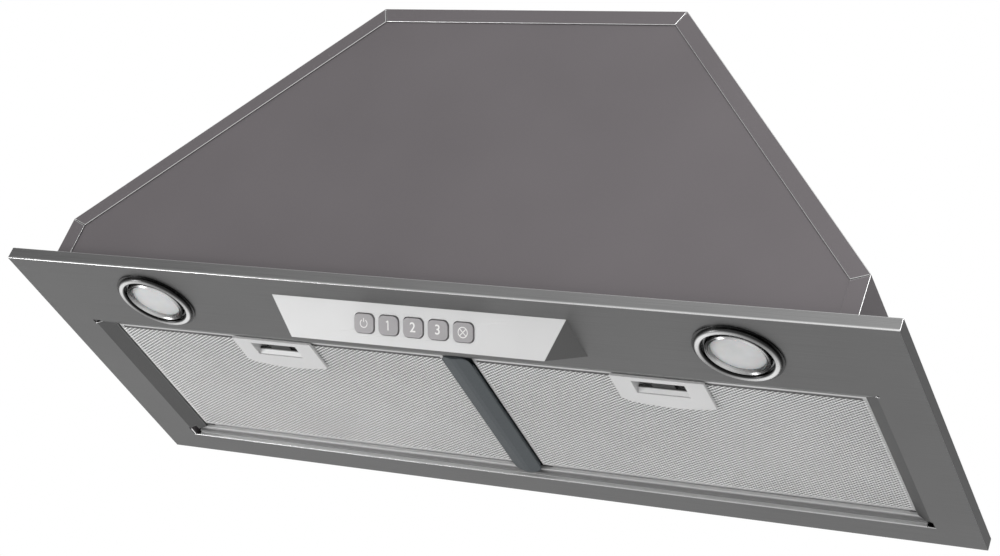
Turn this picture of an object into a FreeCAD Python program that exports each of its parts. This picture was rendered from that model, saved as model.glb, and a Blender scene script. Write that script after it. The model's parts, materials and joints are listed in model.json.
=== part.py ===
"""Range hood insert that closes a cabinet cut-out: panel, body, blower, filters, lamps and controls.

Millimetres. +Z is up, X runs across the width and the front is at -Y. The origin is the centre of
the cabinet cut-out in the seat plane, where the tops of the panel's lips meet the cabinet.
"""

import FreeCAD, Part
import math
import os
from types import SimpleNamespace

import Sketcher
from FreeCAD import Placement, Rotation, Vector

DIMENSIONS = [
    # panel
    ("panel_width", 720.0, "panel, left to right"),
    ("panel_depth", 280.0, "panel, front to back"),
    ("lip_height", 10.0, "upturned lip, from the panel's underside to the seat plane"),
    ("sheet", 1.0, "steel sheet of the panel, body and covers"),
    ("opening_gap", 1.2, "body's outside to the side edge of the filter opening"),
    ("opening_front", 81.5, "panel's front edge to the filter opening"),
    ("bevel_run", 12.0, "bevel round the opening, sideways"),
    ("bevel_rise", 6.0, "bevel round the opening, upwards"),
    ("hem_rise", 2.0, "upright hem along the bevel's top edge"),
    ("relief", 5.0, "left corners' relief notch, long side"),
    ("relief_right", 1.9, "right corners' relief notch, long side"),
    ("relief_reach", 1.5, "corner relief notch, past the opening's corner"),
    ("relief_width", 4.5, "left corners' relief notch, short side"),
    ("relief_width_right", 1.6, "right corners' relief notch, short side"),
    # back rail
    ("rail_sheet", 1.2, "sheet of the back rail"),
    ("rail_step_run", 2.2, "each step of the back rail, forwards"),
    ("rail_step_rise", 2.8, "each step of the back rail, upwards"),
    ("rail_foot", 11.1, "back rail's foot on the panel"),
    ("rail_end_gap", 4.7, "opening's side edge to the end of the back rail"),
    # body
    ("side_margin", 33.5, "panel's side edge to the body"),
    ("body_margin", 11.0, "panel's front and back edges to the body"),
    ("side_height", 38.0, "seat plane to the top of the upright side walls"),
    ("body_top", 258.0, "seat plane to the body's top"),
    ("top_width", 260.0, "flat top, left to right"),
    ("rim", 13.0, "rim flange lapped over the front and rear covers"),
    ("seam", 0.5, "mitred slit in the rim at each bend"),
    ("cover_gap", 0.3, "wrapper to the covers' edges"),
    ("side_foot", 15.0, "wrapper's foot flange on the panel"),
    ("cover_foot", 8.0, "covers' foot flange on the panel"),
    ("foot_inset", 20.0, "ends of the foot flanges, in from the body's corners"),
    ("fixing_spacing", 140.0, "fixing holes in each side wall, front to back"),
    ("fixing_height", 20.0, "fixing holes, above the seat plane"),
    ("fixing_radius", 2.25, "fixing hole for a 4 mm wood screw"),
    # compartment for the lamps and switches
    ("compartment_drop", 2.0, "compartment cover's top, below the bend in the side walls"),
    ("slot_width", 24.0, "latch slot in the compartment cover"),
    ("slot_height", 5.0, "latch slot in the compartment cover"),
    # divider
    ("divider_width", 23.5, "bar between the filters"),
    ("divider_drop", 8.0, "seat plane down to the bar's ridge"),
    ("divider_keel", 1.8, "rise of the bar's flanks from ridge to edge"),
    ("divider_ridge", 4.0, "flat along the bar's ridge"),
    ("divider_edge", 0.6, "bar's edge, thickness"),
    ("divider_web", 12.0, "channel above the bar, outside"),
    ("divider_lap", 3.0, "bar's ends lapped under the bevel and the rail"),
    # filters
    ("filter_gap", 0.6, "clearance round each filter"),
    ("filter_rear_gap", 4.1, "filter's rear edge to the rail's lip"),
    ("filter_thick", 9.0, "filter, bottom to top"),
    ("filter_sheet", 1.0, "aluminium sheet of the filter frame"),
    ("filter_border", 3.0, "frame's lower border, above the mesh"),
    ("filter_top_border", 7.0, "frame's upper border"),
    ("net_sheet", 0.8, "expanded mesh sheet"),
    ("net_gap", 11.0, "mesh opening along its long diagonal"),
    ("net_margin", 1.3, "solid edge of the mesh sheet, folded round the frame"),
    ("net_columns", 22, "mesh openings in a row"),
    ("net_rows", 12, "rows of mesh openings"),
    ("hinge_end", 6.0, "filter's end to the end of its hinge flange"),
    ("hinge_lap", 2.4, "hinge flange, over the rail's lip"),
    # handle and latch
    ("handle_shift", 1.8, "middle of the handle, to the left of the filter's middle"),
    ("handle_width", 72.5, "handle plate, left to right"),
    ("handle_depth", 36.5, "handle plate, front to back at its middle"),
    ("handle_plate", 2.2, "handle plate, below the filter"),
    ("handle_bow", 4.0, "bow of the plate's rear edge"),
    ("handle_corner", 5.0, "cut-off rear left corner, left to right"),
    ("handle_corner_rise", 3.5, "cut-off rear left corner, front to back"),
    ("pull_inset", 15.5, "plate's left edge to the finger pull"),
    ("pull_width", 41.0, "finger pull, left to right"),
    ("pull_front", 4.5, "plate's front edge to the finger pull"),
    ("pull_depth", 16.0, "finger pull, front to back"),
    ("pull_wall", 1.5, "walls of the finger pull's pocket"),
    ("pull_skin", 0.8, "plate left under the rear of the pocket"),
    ("latch_travel", 3.0, "latch, from caught to free"),
    ("latch_face_drop", 1.0, "plate's underside up to the lower edge of the latch's face"),
    ("latch_face_run", 2.6, "latch's slanted face, front to back"),
    ("latch_slack", 1.0, "latch tongue to its slot in the filter frame"),
    ("latch_lap", 1.0, "latch's foot, behind the finger pull's rear edge"),
    ("spring_closed", 1.5, "latch spring pressed flat"),
    ("spring_strip", 0.3, "strip of the latch spring"),
    ("spring_width", 3.0, "strip of the latch spring, up the filter"),
    ("spring_half", 6.0, "latch spring's folds, to each side"),
    ("tongue_width", 18.0, "latch tongue"),
    ("tongue_thick", 1.6, "latch tongue"),
    ("tongue_gap", 0.3, "tongue's nose to the slot's plate"),
    # controls
    ("wedge_width", 241.6, "control housing at the panel"),
    ("wedge_front", 19.8, "panel's front edge to the control housing"),
    ("wedge_depth", 45.4, "control housing at the panel, front to back"),
    ("wedge_drop", 22.1, "control housing, below the panel"),
    ("wedge_ridge", 20.6, "housing's front edge to its ridge, front to back"),
    ("wedge_end", 16.8, "run of the housing's slanted ends"),
    ("wedge_wall", 2.0, "wall of the control housing"),
    ("wedge_lap", 6.0, "housing's edge to the edge of the panel's hole above it"),
    ("fascia", 0.5, "silver fascia on the housing's face"),
    ("button_width", 15.9, "button cap, left to right"),
    ("button_height", 13.8, "button cap, along the face"),
    ("button_pitch", 20.4, "button to button"),
    ("button_place", 15.2, "buttons' centre line, along the face"),
    ("button_proud", 1.2, "cap's height above the face"),
    ("button_corner", 4.0, "rounded corner of the cap"),
    ("button_gap", 0.6, "cap to its hole"),
    ("button_flange", 1.0, "flange behind the face, thickness"),
    ("button_lap", 1.0, "flange beyond the cap, on each side"),
    ("button_seat", 0.2, "housing's wall to the flange"),
    ("stem_radius", 3.0, "stem behind the flange"),
    ("plunger_radius", 1.7, "plunger of a micro switch"),
    ("button_travel", 2.0, "full press"),
    ("button_stem", 1.8, "stem behind the flange"),
    ("board_depth", 12.0, "face to the switch board"),
    ("board_thick", 1.6, "switch board"),
    ("board_width", 132.0, "switch board, left to right"),
    ("board_height", 22.0, "switch board, along the face"),
    ("post_spacing", 122.0, "posts that carry the board"),
    ("post_radius", 3.2, "post that carries the board"),
    ("post_bore", 1.2, "screw bore in a post"),
    ("switch_side", 12.0, "body of a micro switch"),
    ("switch_thick", 3.6, "body of a micro switch, from the board"),
    # lamps
    ("lamp_margin", 120.0, "panel's side edge to the lamp's centre"),
    ("lamp_setback", 42.0, "panel's front edge to the lamp's centre"),
    ("bezel_radius", 32.0, "outer bezel"),
    ("bezel_bore", 25.0, "outer bezel, inside"),
    ("bezel_drop", 4.0, "outer bezel, below the panel"),
    ("bezel_crest", 30.2, "outer bezel's raised ring, outside"),
    ("bezel_lip", 1.2, "outer bezel's flat lip, thickness"),
    ("bezel_round", 2.5, "rounding of the outer bezel's raised ring"),
    ("bezel_neck", 27.0, "outer bezel's neck through the panel"),
    ("bezel_neck_height", 6.0, "outer bezel's neck, above the panel's underside"),
    ("lens_ring_radius", 23.3, "inner lens ring"),
    ("lens_ring_crest", 2.9, "crests of the ring's ridges, below the panel"),
    ("lens_ring_valley", 1.9, "valleys between the ridges, below the panel"),
    ("lens_radius", 19.2, "frosted lens"),
    ("can_radius", 24.7, "lamp can, outside"),
    ("can_wall", 1.0, "lamp can"),
    ("lens_gap", 0.1, "lens to its ring"),
    ("lens_ring_edge", 1.2, "lens ring's edges, below the panel"),
    ("lens_ring_rise", 4.0, "lens ring, above the panel's underside"),
    ("lens_seat", 2.2, "ledge behind the lens, above the panel's underside"),
    ("lens_shelf", 1.5, "ledge behind the lens, width"),
    ("lens_bulge", 1.5, "lens's middle, below the panel"),
    ("can_height", 38.0, "lamp can, from its rim"),
    ("led_board", 3.0, "LED module, thickness"),
    ("led_height", 4.2, "LED module, above the panel's underside"),
    ("clip_strip", 0.8, "lamp spring clip's strip"),
    ("clip_width", 10.0, "lamp spring clip"),
    ("clip_rise", 20.0, "lamp spring clip's top, above the panel"),
    ("clip_seat", 8.0, "lamp spring clip's straight top"),
    ("clip_reach", 8.0, "lamp spring clip's foot, beyond the bezel's neck"),
    # outlet and damper
    ("duct_radius", 74.5, "duct spigot, outside"),
    ("duct_wall", 1.5, "duct spigot"),
    ("duct_length", 36.0, "duct spigot, above its flange"),
    ("collar_margin", 11.5, "spigot to the edge of the collar's square flange"),
    ("collar_plate", 2.0, "collar's flange, thickness"),
    ("collar_screw_inset", 8.0, "collar flange's edge to its screws"),
    ("spindle_radius", 1.5, "damper spindle"),
    ("spindle_height", 10.0, "damper spindle, above the body's top"),
    ("flap_thick", 1.2, "damper flap"),
    ("flap_gap", 0.7, "flap's rim to the spigot's wall"),
    ("knuckle_radius", 3.0, "flap knuckle round the spindle"),
    ("knuckle_length", 22.0, "flap knuckle"),
    ("stop_width", 3.0, "ledge that the closed flaps rest on"),
    ("stop_thick", 2.0, "ledge that the closed flaps rest on, thickness"),
    # blower
    ("scroll_width", 140.0, "blower scroll, along the shaft"),
    ("scroll_wall", 1.6, "blower scroll's wall"),
    ("shaft_forward", 26.0, "shaft, in front of the hood's middle"),
    ("shaft_height", 138.0, "shaft, above the seat plane"),
    ("volute_gap", 5.0, "impeller to the volute at the tongue"),
    ("outlet_depth", 136.0, "blower outlet, front to back"),
    ("scroll_inset", 4.0, "collar flange's edge to the edge of the blower outlet's flange"),
    ("scroll_seam", 4.0, "seam rib where the scroll halves meet"),
    ("seam_stop", 12.0, "seam rib's end, below the body's top"),
    ("inlet_radius", 52.0, "blower inlet"),
    ("wheel_radius", 65.0, "impeller"),
    ("wheel_end_gap", 12.0, "impeller's ends to the outside of the scroll"),
    ("blade_count", 30, "impeller blades on each side"),
    ("blade_thick", 1.2, "impeller blade"),
    ("shaft_radius", 4.0, "motor shaft"),
    ("bore_gap", 0.05, "running clearance of the shaft and the spindle"),
    ("motor_radius", 38.0, "motor"),
    ("motor_overhang", 15.0, "motor's end beyond its bracket"),
    ("motor_start", 20.0, "impeller's middle to the motor"),
    ("motor_boss", 4.0, "motor's bearing boss inside the impeller, length"),
    ("motor_boss_radius", 12.0, "motor's bearing boss inside the impeller"),
    ("motor_cap", 5.0, "motor's end cap, length"),
    ("motor_cap_radius", 16.0, "motor's end cap"),
    ("shaft_start", 14.0, "shaft's free end, left of the impeller's middle"),
    ("shaft_end", 10.0, "shaft's other end, beyond the motor"),
    ("hub_radius", 13.0, "impeller's hub"),
    ("hub_length", 24.0, "impeller's hub"),
    ("wheel_plate", 2.0, "impeller's disc and end rings"),
    ("grommet_length", 3.0, "rubber grommet under each bracket arm"),
    ("bracket_plate", 2.0, "motor bracket"),
    ("bracket_margin", 10.0, "blower inlet to the bracket's screws"),
    # wiring
    ("capacitor_radius", 17.5, "run capacitor"),
    ("capacitor_length", 70.0, "run capacitor"),
    ("capacitor_margin", 96.5, "body's left side to the run capacitor"),
    ("capacitor_back", 40.0, "body's front to the run capacitor's axis"),
    ("capacitor_lift", 1.0, "compartment cover to the run capacitor"),
    ("terminal_radius", 6.0, "run capacitor's terminal block"),
    ("terminal_length", 4.0, "run capacitor's terminal block"),
    ("band_width", 12.0, "capacitor clip"),
    ("band_thick", 1.5, "capacitor clip round the capacitor"),
    ("band_foot", 12.0, "capacitor clip's feet, beyond the capacitor"),
    ("box_left", 130.0, "junction box's left side, right of the middle"),
    ("box_front", 12.0, "body's front to the junction box"),
    ("lid_lap", 1.0, "junction box lid, beyond the box"),
    ("box_width", 90.0, "junction box, left to right"),
    ("box_depth", 60.0, "junction box, front to back"),
    ("box_height", 38.0, "junction box"),
    ("box_wall", 2.0, "junction box"),
    ("grommet_x", 108.0, "cable grommet in the rear cover, right of the middle"),
    ("grommet_drop", 40.0, "body's top to the cable grommet"),
    ("cable_radius", 4.0, "cable grommet's bore"),
    ("grommet_radius", 11.0, "cable grommet"),
    ("grommet_hole", 8.0, "cable grommet's hole in the rear cover"),
    ("grommet_lip", 3.0, "each lip of the cable grommet"),
    # screws
    ("screw_radius", 1.5, "small screw's shank"),
    ("screw_clear", 0.2, "screw hole round its shank"),
    ("screw_head", 3.2, "small screw's head"),
    ("screw_head_height", 2.0, "small screw's head"),
    ("screw_length", 8.0, "cover screw's shank"),
    ("collar_screw_length", 12.0, "collar screw's shank"),
    ("bracket_screw_grip", 4.0, "bracket screw's end, behind the scroll's outer face"),
    ("board_screw_radius", 1.1, "control board screw's shank"),
    ("board_screw_grip", 5.0, "control board screw's shank, in its post"),
    ("board_screw_head", 2.4, "control board screw's head"),
    ("board_screw_head_height", 1.4, "control board screw's head"),
    ("board_hole", 1.4, "screw hole in the switch board"),
]

SHEET = "Sizes"
doc = FreeCAD.newDocument("RangeHoodInsert")


class Size:
    """A length with its present value and the formula that gives it."""

    def __init__(self, value, text):
        self.value = float(value)
        self.text = text

    def __float__(self):
        return self.value

    def __add__(self, other):
        other = as_size(other)
        return Size(self.value + other.value, f"({self.text} + {other.text})")

    def __sub__(self, other):
        other = as_size(other)
        return Size(self.value - other.value, f"({self.text} - {other.text})")

    def __mul__(self, other):
        other = as_size(other)
        return Size(self.value * other.value, f"({self.text} * {other.text})")

    def __truediv__(self, other):
        other = as_size(other)
        return Size(self.value / other.value, f"({self.text} / {other.text})")

    def __neg__(self):
        return self * -1

    def __rsub__(self, other):
        return as_size(other) - self

    __radd__ = __add__
    __rmul__ = __mul__


def as_size(value):
    if isinstance(value, Size):
        return value
    text = repr(float(value))
    return Size(value, f"({text})" if value < 0 else text)


def make_sheet():
    """Put every driving dimension in the table of sizes and hand them back by name."""
    sheet = doc.addObject("Spreadsheet::Sheet", SHEET)
    sizes = {}
    for row, (alias, value, meaning) in enumerate(DIMENSIONS, start=1):
        sheet.set(f"A{row}", meaning)
        sheet.set(f"B{row}", str(value))
        sheet.setAlias(f"B{row}", alias)
        sizes[alias] = Size(value, f"{SHEET}.{alias}")
    doc.recompute()
    return SimpleNamespace(**sizes)


d = make_sheet()
PIECES = []

# ---------------------------------------------------------------- levels and places shared by pieces
panel_under = -d.lip_height
panel_top = panel_under + d.sheet
panel_back = d.panel_depth / 2
panel_front = -panel_back
body_half = d.panel_width / 2 - d.side_margin
body_back = panel_back - d.body_margin
body_front = -body_back
top_half = d.top_width / 2
under_top = d.body_top - d.sheet
opening_half = body_half - d.opening_gap
opening_front = panel_front + d.opening_front
rail_face = body_back - 2 * d.sheet - d.rail_foot - d.rail_sheet
bevel_half = opening_half - d.bevel_run
bevel_top = panel_under + d.bevel_rise
bevel_front = opening_front + d.bevel_run
hem_top = bevel_top + d.hem_rise
rail_lip = rail_face - 2 * d.rail_step_run
rail_lip_top = panel_under + 3 * d.rail_step_rise + 0.2
filter_bottom = bevel_top + 0.2
filter_top = filter_bottom + d.filter_thick
filter_front = bevel_front + d.filter_gap
filter_rear = rail_lip - d.filter_rear_gap
filter_outer = bevel_half - d.filter_gap
filter_inner = d.divider_width / 2 + d.filter_gap
filter_middle = (filter_inner + filter_outer) / 2
handle_front = filter_front + d.filter_sheet - 0.2
handle_under = filter_bottom - d.handle_plate
pull_front = handle_front + d.pull_front
compartment_back = bevel_front
compartment_top = d.side_height - d.compartment_drop
lamp_x = d.panel_width / 2 - d.lamp_margin
lamp_y = panel_front + d.lamp_setback
wedge_front = panel_front + d.wedge_front
wedge_back = wedge_front + d.wedge_depth
shaft_y = -d.shaft_forward
wheel_half = d.scroll_width / 2 - d.wheel_end_gap
bracket_reach = d.inlet_radius + d.bracket_margin
collar_half = d.duct_radius + d.collar_margin
collar_screw = collar_half - d.collar_screw_inset
spindle_z = d.body_top + d.spindle_height
grommet_z = d.body_top - d.grommet_drop


# ---------------------------------------------------------------- helpers
def numbers(*sizes):
    return [float(size) for size in sizes]


def vector(x, y, z):
    return Vector(float(x), float(y), float(z))


def bind(thing, name, size):
    thing.setExpression(name, as_size(size).text)


def place(thing, x=0, y=0, z=0, rotation=None):
    """Put an object at bound coordinates, turned by a fixed rotation."""
    thing.Placement = Placement(vector(x, y, z), rotation or Rotation())
    for axis, size in (("x", x), ("y", y), ("z", z)):
        bind(thing, f"Placement.Base.{axis}", size)


def keep(label, piece):
    """Name a finished sub-part, which is then written out under that name."""
    piece.Label = label
    PIECES.append(piece)
    return piece


def box(x, y, z):
    """A block from three (low, high) pairs of sizes."""
    block = doc.addObject("Part::Box", "Block")
    for name, (low, high) in (("Length", x), ("Width", y), ("Height", z)):
        bind(block, name, as_size(high) - low)
    place(block, x[0], y[0], z[0])
    return block


ALONG = {
    "x": Rotation(Vector(0, 1, 0), 90),
    "y": Rotation(Vector(1, 0, 0), -90),
    "z": Rotation(),
}


def rod(radius, length, x=0, y=0, z=0, along="z"):
    """A round bar that starts at a point and runs along +X, +Y or +Z."""
    bar = doc.addObject("Part::Cylinder", "Rod")
    bind(bar, "Radius", radius)
    bind(bar, "Height", length)
    place(bar, x, y, z, ALONG[along])
    return bar


def fuse(*pieces):
    joined = doc.addObject("Part::MultiFuse", "Joined")
    joined.Shapes = list(pieces)
    joined.Refine = True
    return joined


def cut(base, *tools):
    trimmed = doc.addObject("Part::Cut", "Trimmed")
    trimmed.Base = base
    trimmed.Tool = tools[0] if len(tools) == 1 else fuse(*tools)
    trimmed.Refine = True
    return trimmed


def group(*pieces):
    """Separate solids that share one node."""
    joined = doc.addObject("Part::Compound", "Group")
    joined.Links = list(pieces)
    return joined


def shaped(shape):
    """A piece whose form is worked out from the named sizes."""
    feature = doc.addObject("Part::Feature", "Shaped")
    place_on = shape.Placement
    feature.Shape = shape
    feature.Placement = place_on
    return feature


def prism(points, push):
    """A flat outline, given as vectors, pushed along a vector."""
    return Part.Face(Part.makePolygon(points + points[:1])).extrude(push)


def new_body(name, x=0, y=0, z=0, rotation=None):
    body = doc.addObject("PartDesign::Body", name)
    place(body, x, y, z, rotation)
    return body


def new_sketch(body, role, shift=0):
    """A sketch on one of the body's own origin planes, moved along the plane's normal."""
    plane = next(item for item in body.Origin.OriginFeatures if item.Role == role)
    sketch = body.newObject("Sketcher::SketchObject", "Profile")
    sketch.AttachmentSupport = [(plane, "")]
    sketch.MapMode = "FlatFace"
    bind(sketch, "AttachmentOffset.Base.z", shift)
    return sketch


def pin_point(sketch, line, end, u, v):
    """Tie a point of the sketch to the sketch's origin by two bound distances."""
    for kind, size in (("DistanceX", as_size(u)), ("DistanceY", as_size(v))):
        index = sketch.addConstraint(Sketcher.Constraint(kind, -1, 1, line, end, size.value))
        bind(sketch, f"Constraints[{index}]", size)


def draw_polygon(sketch, points):
    first = sketch.GeometryCount
    count = len(points)
    for index in range(count):
        (u0, v0), (u1, v1) = points[index], points[(index + 1) % count]
        sketch.addGeometry(Part.LineSegment(vector(u0, v0, 0), vector(u1, v1, 0)), False)
    for index in range(count):
        after = first + (index + 1) % count
        sketch.addConstraint(Sketcher.Constraint("Coincident", first + index, 2, after, 1))
    for index, (u, v) in enumerate(points):
        pin_point(sketch, first + index, 1, u, v)


def draw_circle(sketch, radius, u=0, v=0):
    index = sketch.addGeometry(Part.Circle(vector(u, v, 0), Vector(0, 0, 1), float(radius)), False)
    pin_point(sketch, index, 3, u, v)
    limit = sketch.addConstraint(Sketcher.Constraint("Radius", index, float(radius)))
    bind(sketch, f"Constraints[{limit}]", radius)


def rectangle(width, height):
    half_w, half_h = as_size(width) / 2, as_size(height) / 2
    return [(-half_w, -half_h), (half_w, -half_h), (half_w, half_h), (-half_w, half_h)]


def pad(body, sketch, length, midplane=False, reverse=False):
    feature = body.newObject("PartDesign::Pad", "Pad")
    feature.Profile = sketch
    bind(feature, "Length", length)
    feature.Midplane = midplane
    feature.Reversed = reverse
    return feature


def round_edges(body, feature, radius, pick):
    """Fillet the edges of a feature that pick() accepts."""
    doc.recompute()
    names = [f"Edge{i}" for i, edge in enumerate(feature.Shape.Edges, start=1) if pick(edge)]
    fillet = body.newObject("PartDesign::Fillet", "Fillet")
    fillet.Base = (feature, names)
    bind(fillet, "Radius", radius)
    return fillet


def is_upright(edge):
    """A straight edge along the local Z."""
    ends = [vertex.Point for vertex in edge.Vertexes]
    return len(ends) == 2 and abs((ends[1] - ends[0]).normalize().z) > 0.999


def is_lowest(edge):
    """A ring on the underside of the outer bezel."""
    return abs(edge.BoundBox.ZMin + float(d.bezel_drop)) < 0.01 and edge.BoundBox.ZLength < 0.01


def turned(name, outline, x=0, y=0, z=0, rotation=None):
    """A turned piece: an outline of (radius, height) points spun round the local Z."""
    body = new_body(name, x, y, z, rotation)
    sketch = new_sketch(body, "XZ_Plane")
    draw_polygon(sketch, outline)
    spin = body.newObject("PartDesign::Revolution", "Revolution")
    spin.Profile = sketch
    spin.ReferenceAxis = (sketch, ["V_Axis"])
    spin.Angle = 360
    return body


def inset(points, distance):
    """A convex outline of (u, v) points, counter-clockwise, drawn in by a distance."""
    count = len(points)
    lines = []
    for index in range(count):
        (u0, v0), (u1, v1) = points[index], points[(index + 1) % count]
        length = math.hypot(u1 - u0, v1 - v0)
        normal = (-(v1 - v0) / length, (u1 - u0) / length)
        lines.append((normal, normal[0] * u0 + normal[1] * v0 + distance))
    result = []
    for index in range(count):
        (a, b), c = lines[index - 1]
        (e, f), g = lines[index]
        scale = a * f - b * e
        result.append(((c * f - b * g) / scale, (a * g - c * e) / scale))
    return result


# ---------------------------------------------------------------- casing
def body_outline(foot):
    """The body seen from the front, counter-clockwise from the lower left, down to a level."""
    half, top, side, height = numbers(body_half, top_half, d.side_height, d.body_top)
    foot = float(foot)
    return [(-half, foot), (half, foot), (half, side), (top, height), (-top, height), (-half, side)]


def body_prism(distance, foot, y0, y1):
    """The body's outline drawn in by a distance, between two planes, with its foot at a level."""
    outline = inset(body_outline(float(foot) - distance), distance)
    points = [Vector(u, y0, v) for u, v in outline]
    return prism(points, Vector(0, y1 - y0, 0))


def make_flange_panel():
    """Tray-like panel: upturned lips outside, bevelled and hemmed edges round the filter opening."""
    half, sheet = d.panel_width / 2, d.sheet
    tray = cut(
        box((-half, half), (panel_front, panel_back), (panel_under, 0)),
        box((-half + sheet, half - sheet), (panel_front + sheet, panel_back - sheet), (panel_top, 1)),
    )
    lamp_hole = d.bezel_neck + d.screw_clear
    holes = [rod(lamp_hole, 4, side * lamp_x, lamp_y, panel_under - 1) for side in (-1, 1)]
    way_in, lap = d.wedge_width / 2 - d.wedge_lap, d.wedge_lap
    control_hole = box((-way_in, way_in), (wedge_front + lap, wedge_back - lap), (panel_under - 1, 0))
    back_edge = rail_face + d.rail_sheet
    opening = box((-opening_half, opening_half), (opening_front, back_edge), (panel_under - 1, 0))
    plate = cut(tray, opening, control_hole, *holes)

    end = rail_lip - d.cover_gap
    hollow = make_bevel_block(panel_under, end)
    outside = make_bevel_block(panel_top, end)
    base = box((-opening_half, opening_half), (opening_front, end), (panel_under, panel_top))
    wide = bevel_half + sheet
    hem = box((-wide, wide), (bevel_front - sheet, end), (bevel_top - 0.5, hem_top))
    mouth = box((-bevel_half, bevel_half), (bevel_front, end + 1), (bevel_top - 1, hem_top + 1))
    bevel = cut(fuse(outside, base, hem), hollow, mouth)

    notches = []
    for side in (-1, 1):
        length, width = (d.relief, d.relief_width) if side < 0 else (d.relief_right, d.relief_width_right)
        ends = (side * (opening_half + d.relief_reach), side * (opening_half - length))
        across = tuple(sorted(ends, key=float))
        start = opening_front - d.sheet / 2
        notches.append(box(across, (start, start + width), (panel_under - 1, 0)))
        notches.append(box(across, (end - length, back_edge), (panel_under - 1, 0)))
    return keep("flange_panel", cut(fuse(plate, bevel), *notches))


def make_bevel_block(level, end):
    """The tapering block that fills the bevelled part of the filter opening, from a level up."""
    block = doc.addObject("Part::Wedge", "Bevel")
    sizes = {
        "Xmin": -opening_half,
        "Xmax": opening_half,
        "X2min": -bevel_half,
        "X2max": bevel_half,
        "Ymin": 0,
        "Ymax": d.bevel_rise,
        "Zmin": -end,
        "Zmax": -opening_front,
        "Z2min": -end,
        "Z2max": -bevel_front,
    }
    for name, size in sizes.items():
        bind(block, name, size)
    place(block, 0, 0, level, Rotation(Vector(1, 0, 0), 90))
    return block


def rim_slits(depth):
    """Mitred slits across the rim flanges at the wrapper's four bends, front and rear."""
    seam, rim, half_depth = numbers(d.seam, d.rim, body_back)
    outer = body_outline(panel_top)
    inner = inset(outer, rim)
    slits = []
    for index in (2, 3, 4, 5):
        start, stop = Vector(outer[index][0], 0, outer[index][1]), Vector(inner[index][0], 0, inner[index][1])
        along = (stop - start).normalize()
        across = along.cross(Vector(0, 1, 0)) * (seam / 2)
        start = start + along * 1.6
        stop = stop + along
        corners = [start - across, stop - across, stop + across, start + across]
        for y in (-half_depth - depth, half_depth - depth):
            lifted = [corner + Vector(0, y, 0) for corner in corners]
            slits.append(prism(lifted, Vector(0, 2 * depth, 0)))
    return slits


def rear_screw_places():
    """Screws through the rear rim: (x, z) pairs on its middle line, mirrored left and right."""
    line = inset(body_outline(panel_top), float(d.rim) / 2)
    (_, _), (_, _), side_top, top_corner, _, _ = line
    side_low = (side_top[0], 0.5 * side_top[1])
    middle = (0.5 * (side_top[0] + top_corner[0]), 0.5 * (side_top[1] + top_corner[1]))
    top_third = (0.5 * top_corner[0], top_corner[1])
    right = [side_low, middle, top_third]
    return right + [(-x, z) for x, z in right]


def make_body_wrapper():
    """One bent strip: upright sides, slants and top, with rims lapped over both covers."""
    sheet, rim, half_depth = numbers(d.sheet, d.rim, body_back)
    shell = body_prism(0, panel_top, -half_depth, half_depth)
    shell = shell.cut(body_prism(sheet, float(panel_top) - 5, -half_depth + sheet, half_depth - sheet))
    shell = shell.cut(body_prism(rim, float(panel_top) - 40, -half_depth - 1, half_depth + 1))
    half, foot_in, foot, top = numbers(body_half, d.foot_inset, d.side_foot, panel_top)
    length = 2 * (half_depth - foot_in)
    for x in (-half - foot, half):
        shell = shell.fuse(Part.makeBox(foot, length, sheet, Vector(x, -length / 2, top)))
    up = Vector(0, 0, 1)
    roof = float(d.body_top) - 3 * sheet
    duct_hole, spacing = numbers(d.duct_radius - d.duct_wall - d.sheet, collar_screw)
    tools = rim_slits(sheet * 1.5)
    tools.append(Part.makeCylinder(duct_hole, 5 * sheet, Vector(0, 0, roof), up))
    clear = float(d.screw_radius + d.screw_clear)
    for x in (-spacing, spacing):
        for y in (-spacing, spacing):
            tools.append(Part.makeCylinder(clear, 5 * sheet, Vector(x, y, roof), up))
    fixing, fix_z, fix_r = numbers(d.fixing_spacing / 2, d.fixing_height, d.fixing_radius)
    for x in (-half, half):
        for y in (-fixing, fixing):
            start = Vector(x - 2 * sheet, y, fix_z)
            tools.append(Part.makeCylinder(fix_r, 4 * sheet, start, Vector(1, 0, 0)))
    for x, z in rear_screw_places():
        start = Vector(x, half_depth - 2 * sheet, z)
        tools.append(Part.makeCylinder(clear, 4 * sheet, start, Vector(0, 1, 0)))
    return keep("body_wrapper", shaped(shell.cut(tools).removeSplitter()))


def make_cover(label, side):
    """Flat cover inside the wrapper, behind its rim, with a foot on the panel."""
    sheet, gap, half_depth, foot, top = numbers(d.sheet, d.cover_gap, body_back, d.cover_foot, panel_top)
    inner = half_depth - 2 * sheet
    plate = body_prism(sheet + gap, top, inner, half_depth - sheet)
    half = float(body_half - d.foot_inset)
    start = Vector(-half, half_depth - sheet, top)
    plate = plate.fuse(Part.makeBox(2 * half, foot + sheet, sheet, start)).removeSplitter()
    clear = float(d.screw_radius + d.screw_clear)
    if side < 0:
        return keep(label, shaped(plate.mirror(Vector(0, 0, 0), Vector(0, 1, 0))))
    for x, z in rear_screw_places():
        hole = Part.makeCylinder(clear, 4 * sheet, Vector(x, inner - sheet, z), Vector(0, 1, 0))
        plate = plate.cut(hole)
    radius, x, z = numbers(d.grommet_hole, d.grommet_x, grommet_z)
    hole = Part.makeCylinder(radius, 4 * sheet, Vector(x, inner - sheet, z), Vector(0, 1, 0))
    return keep(label, shaped(plate.cut(hole)))


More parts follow.
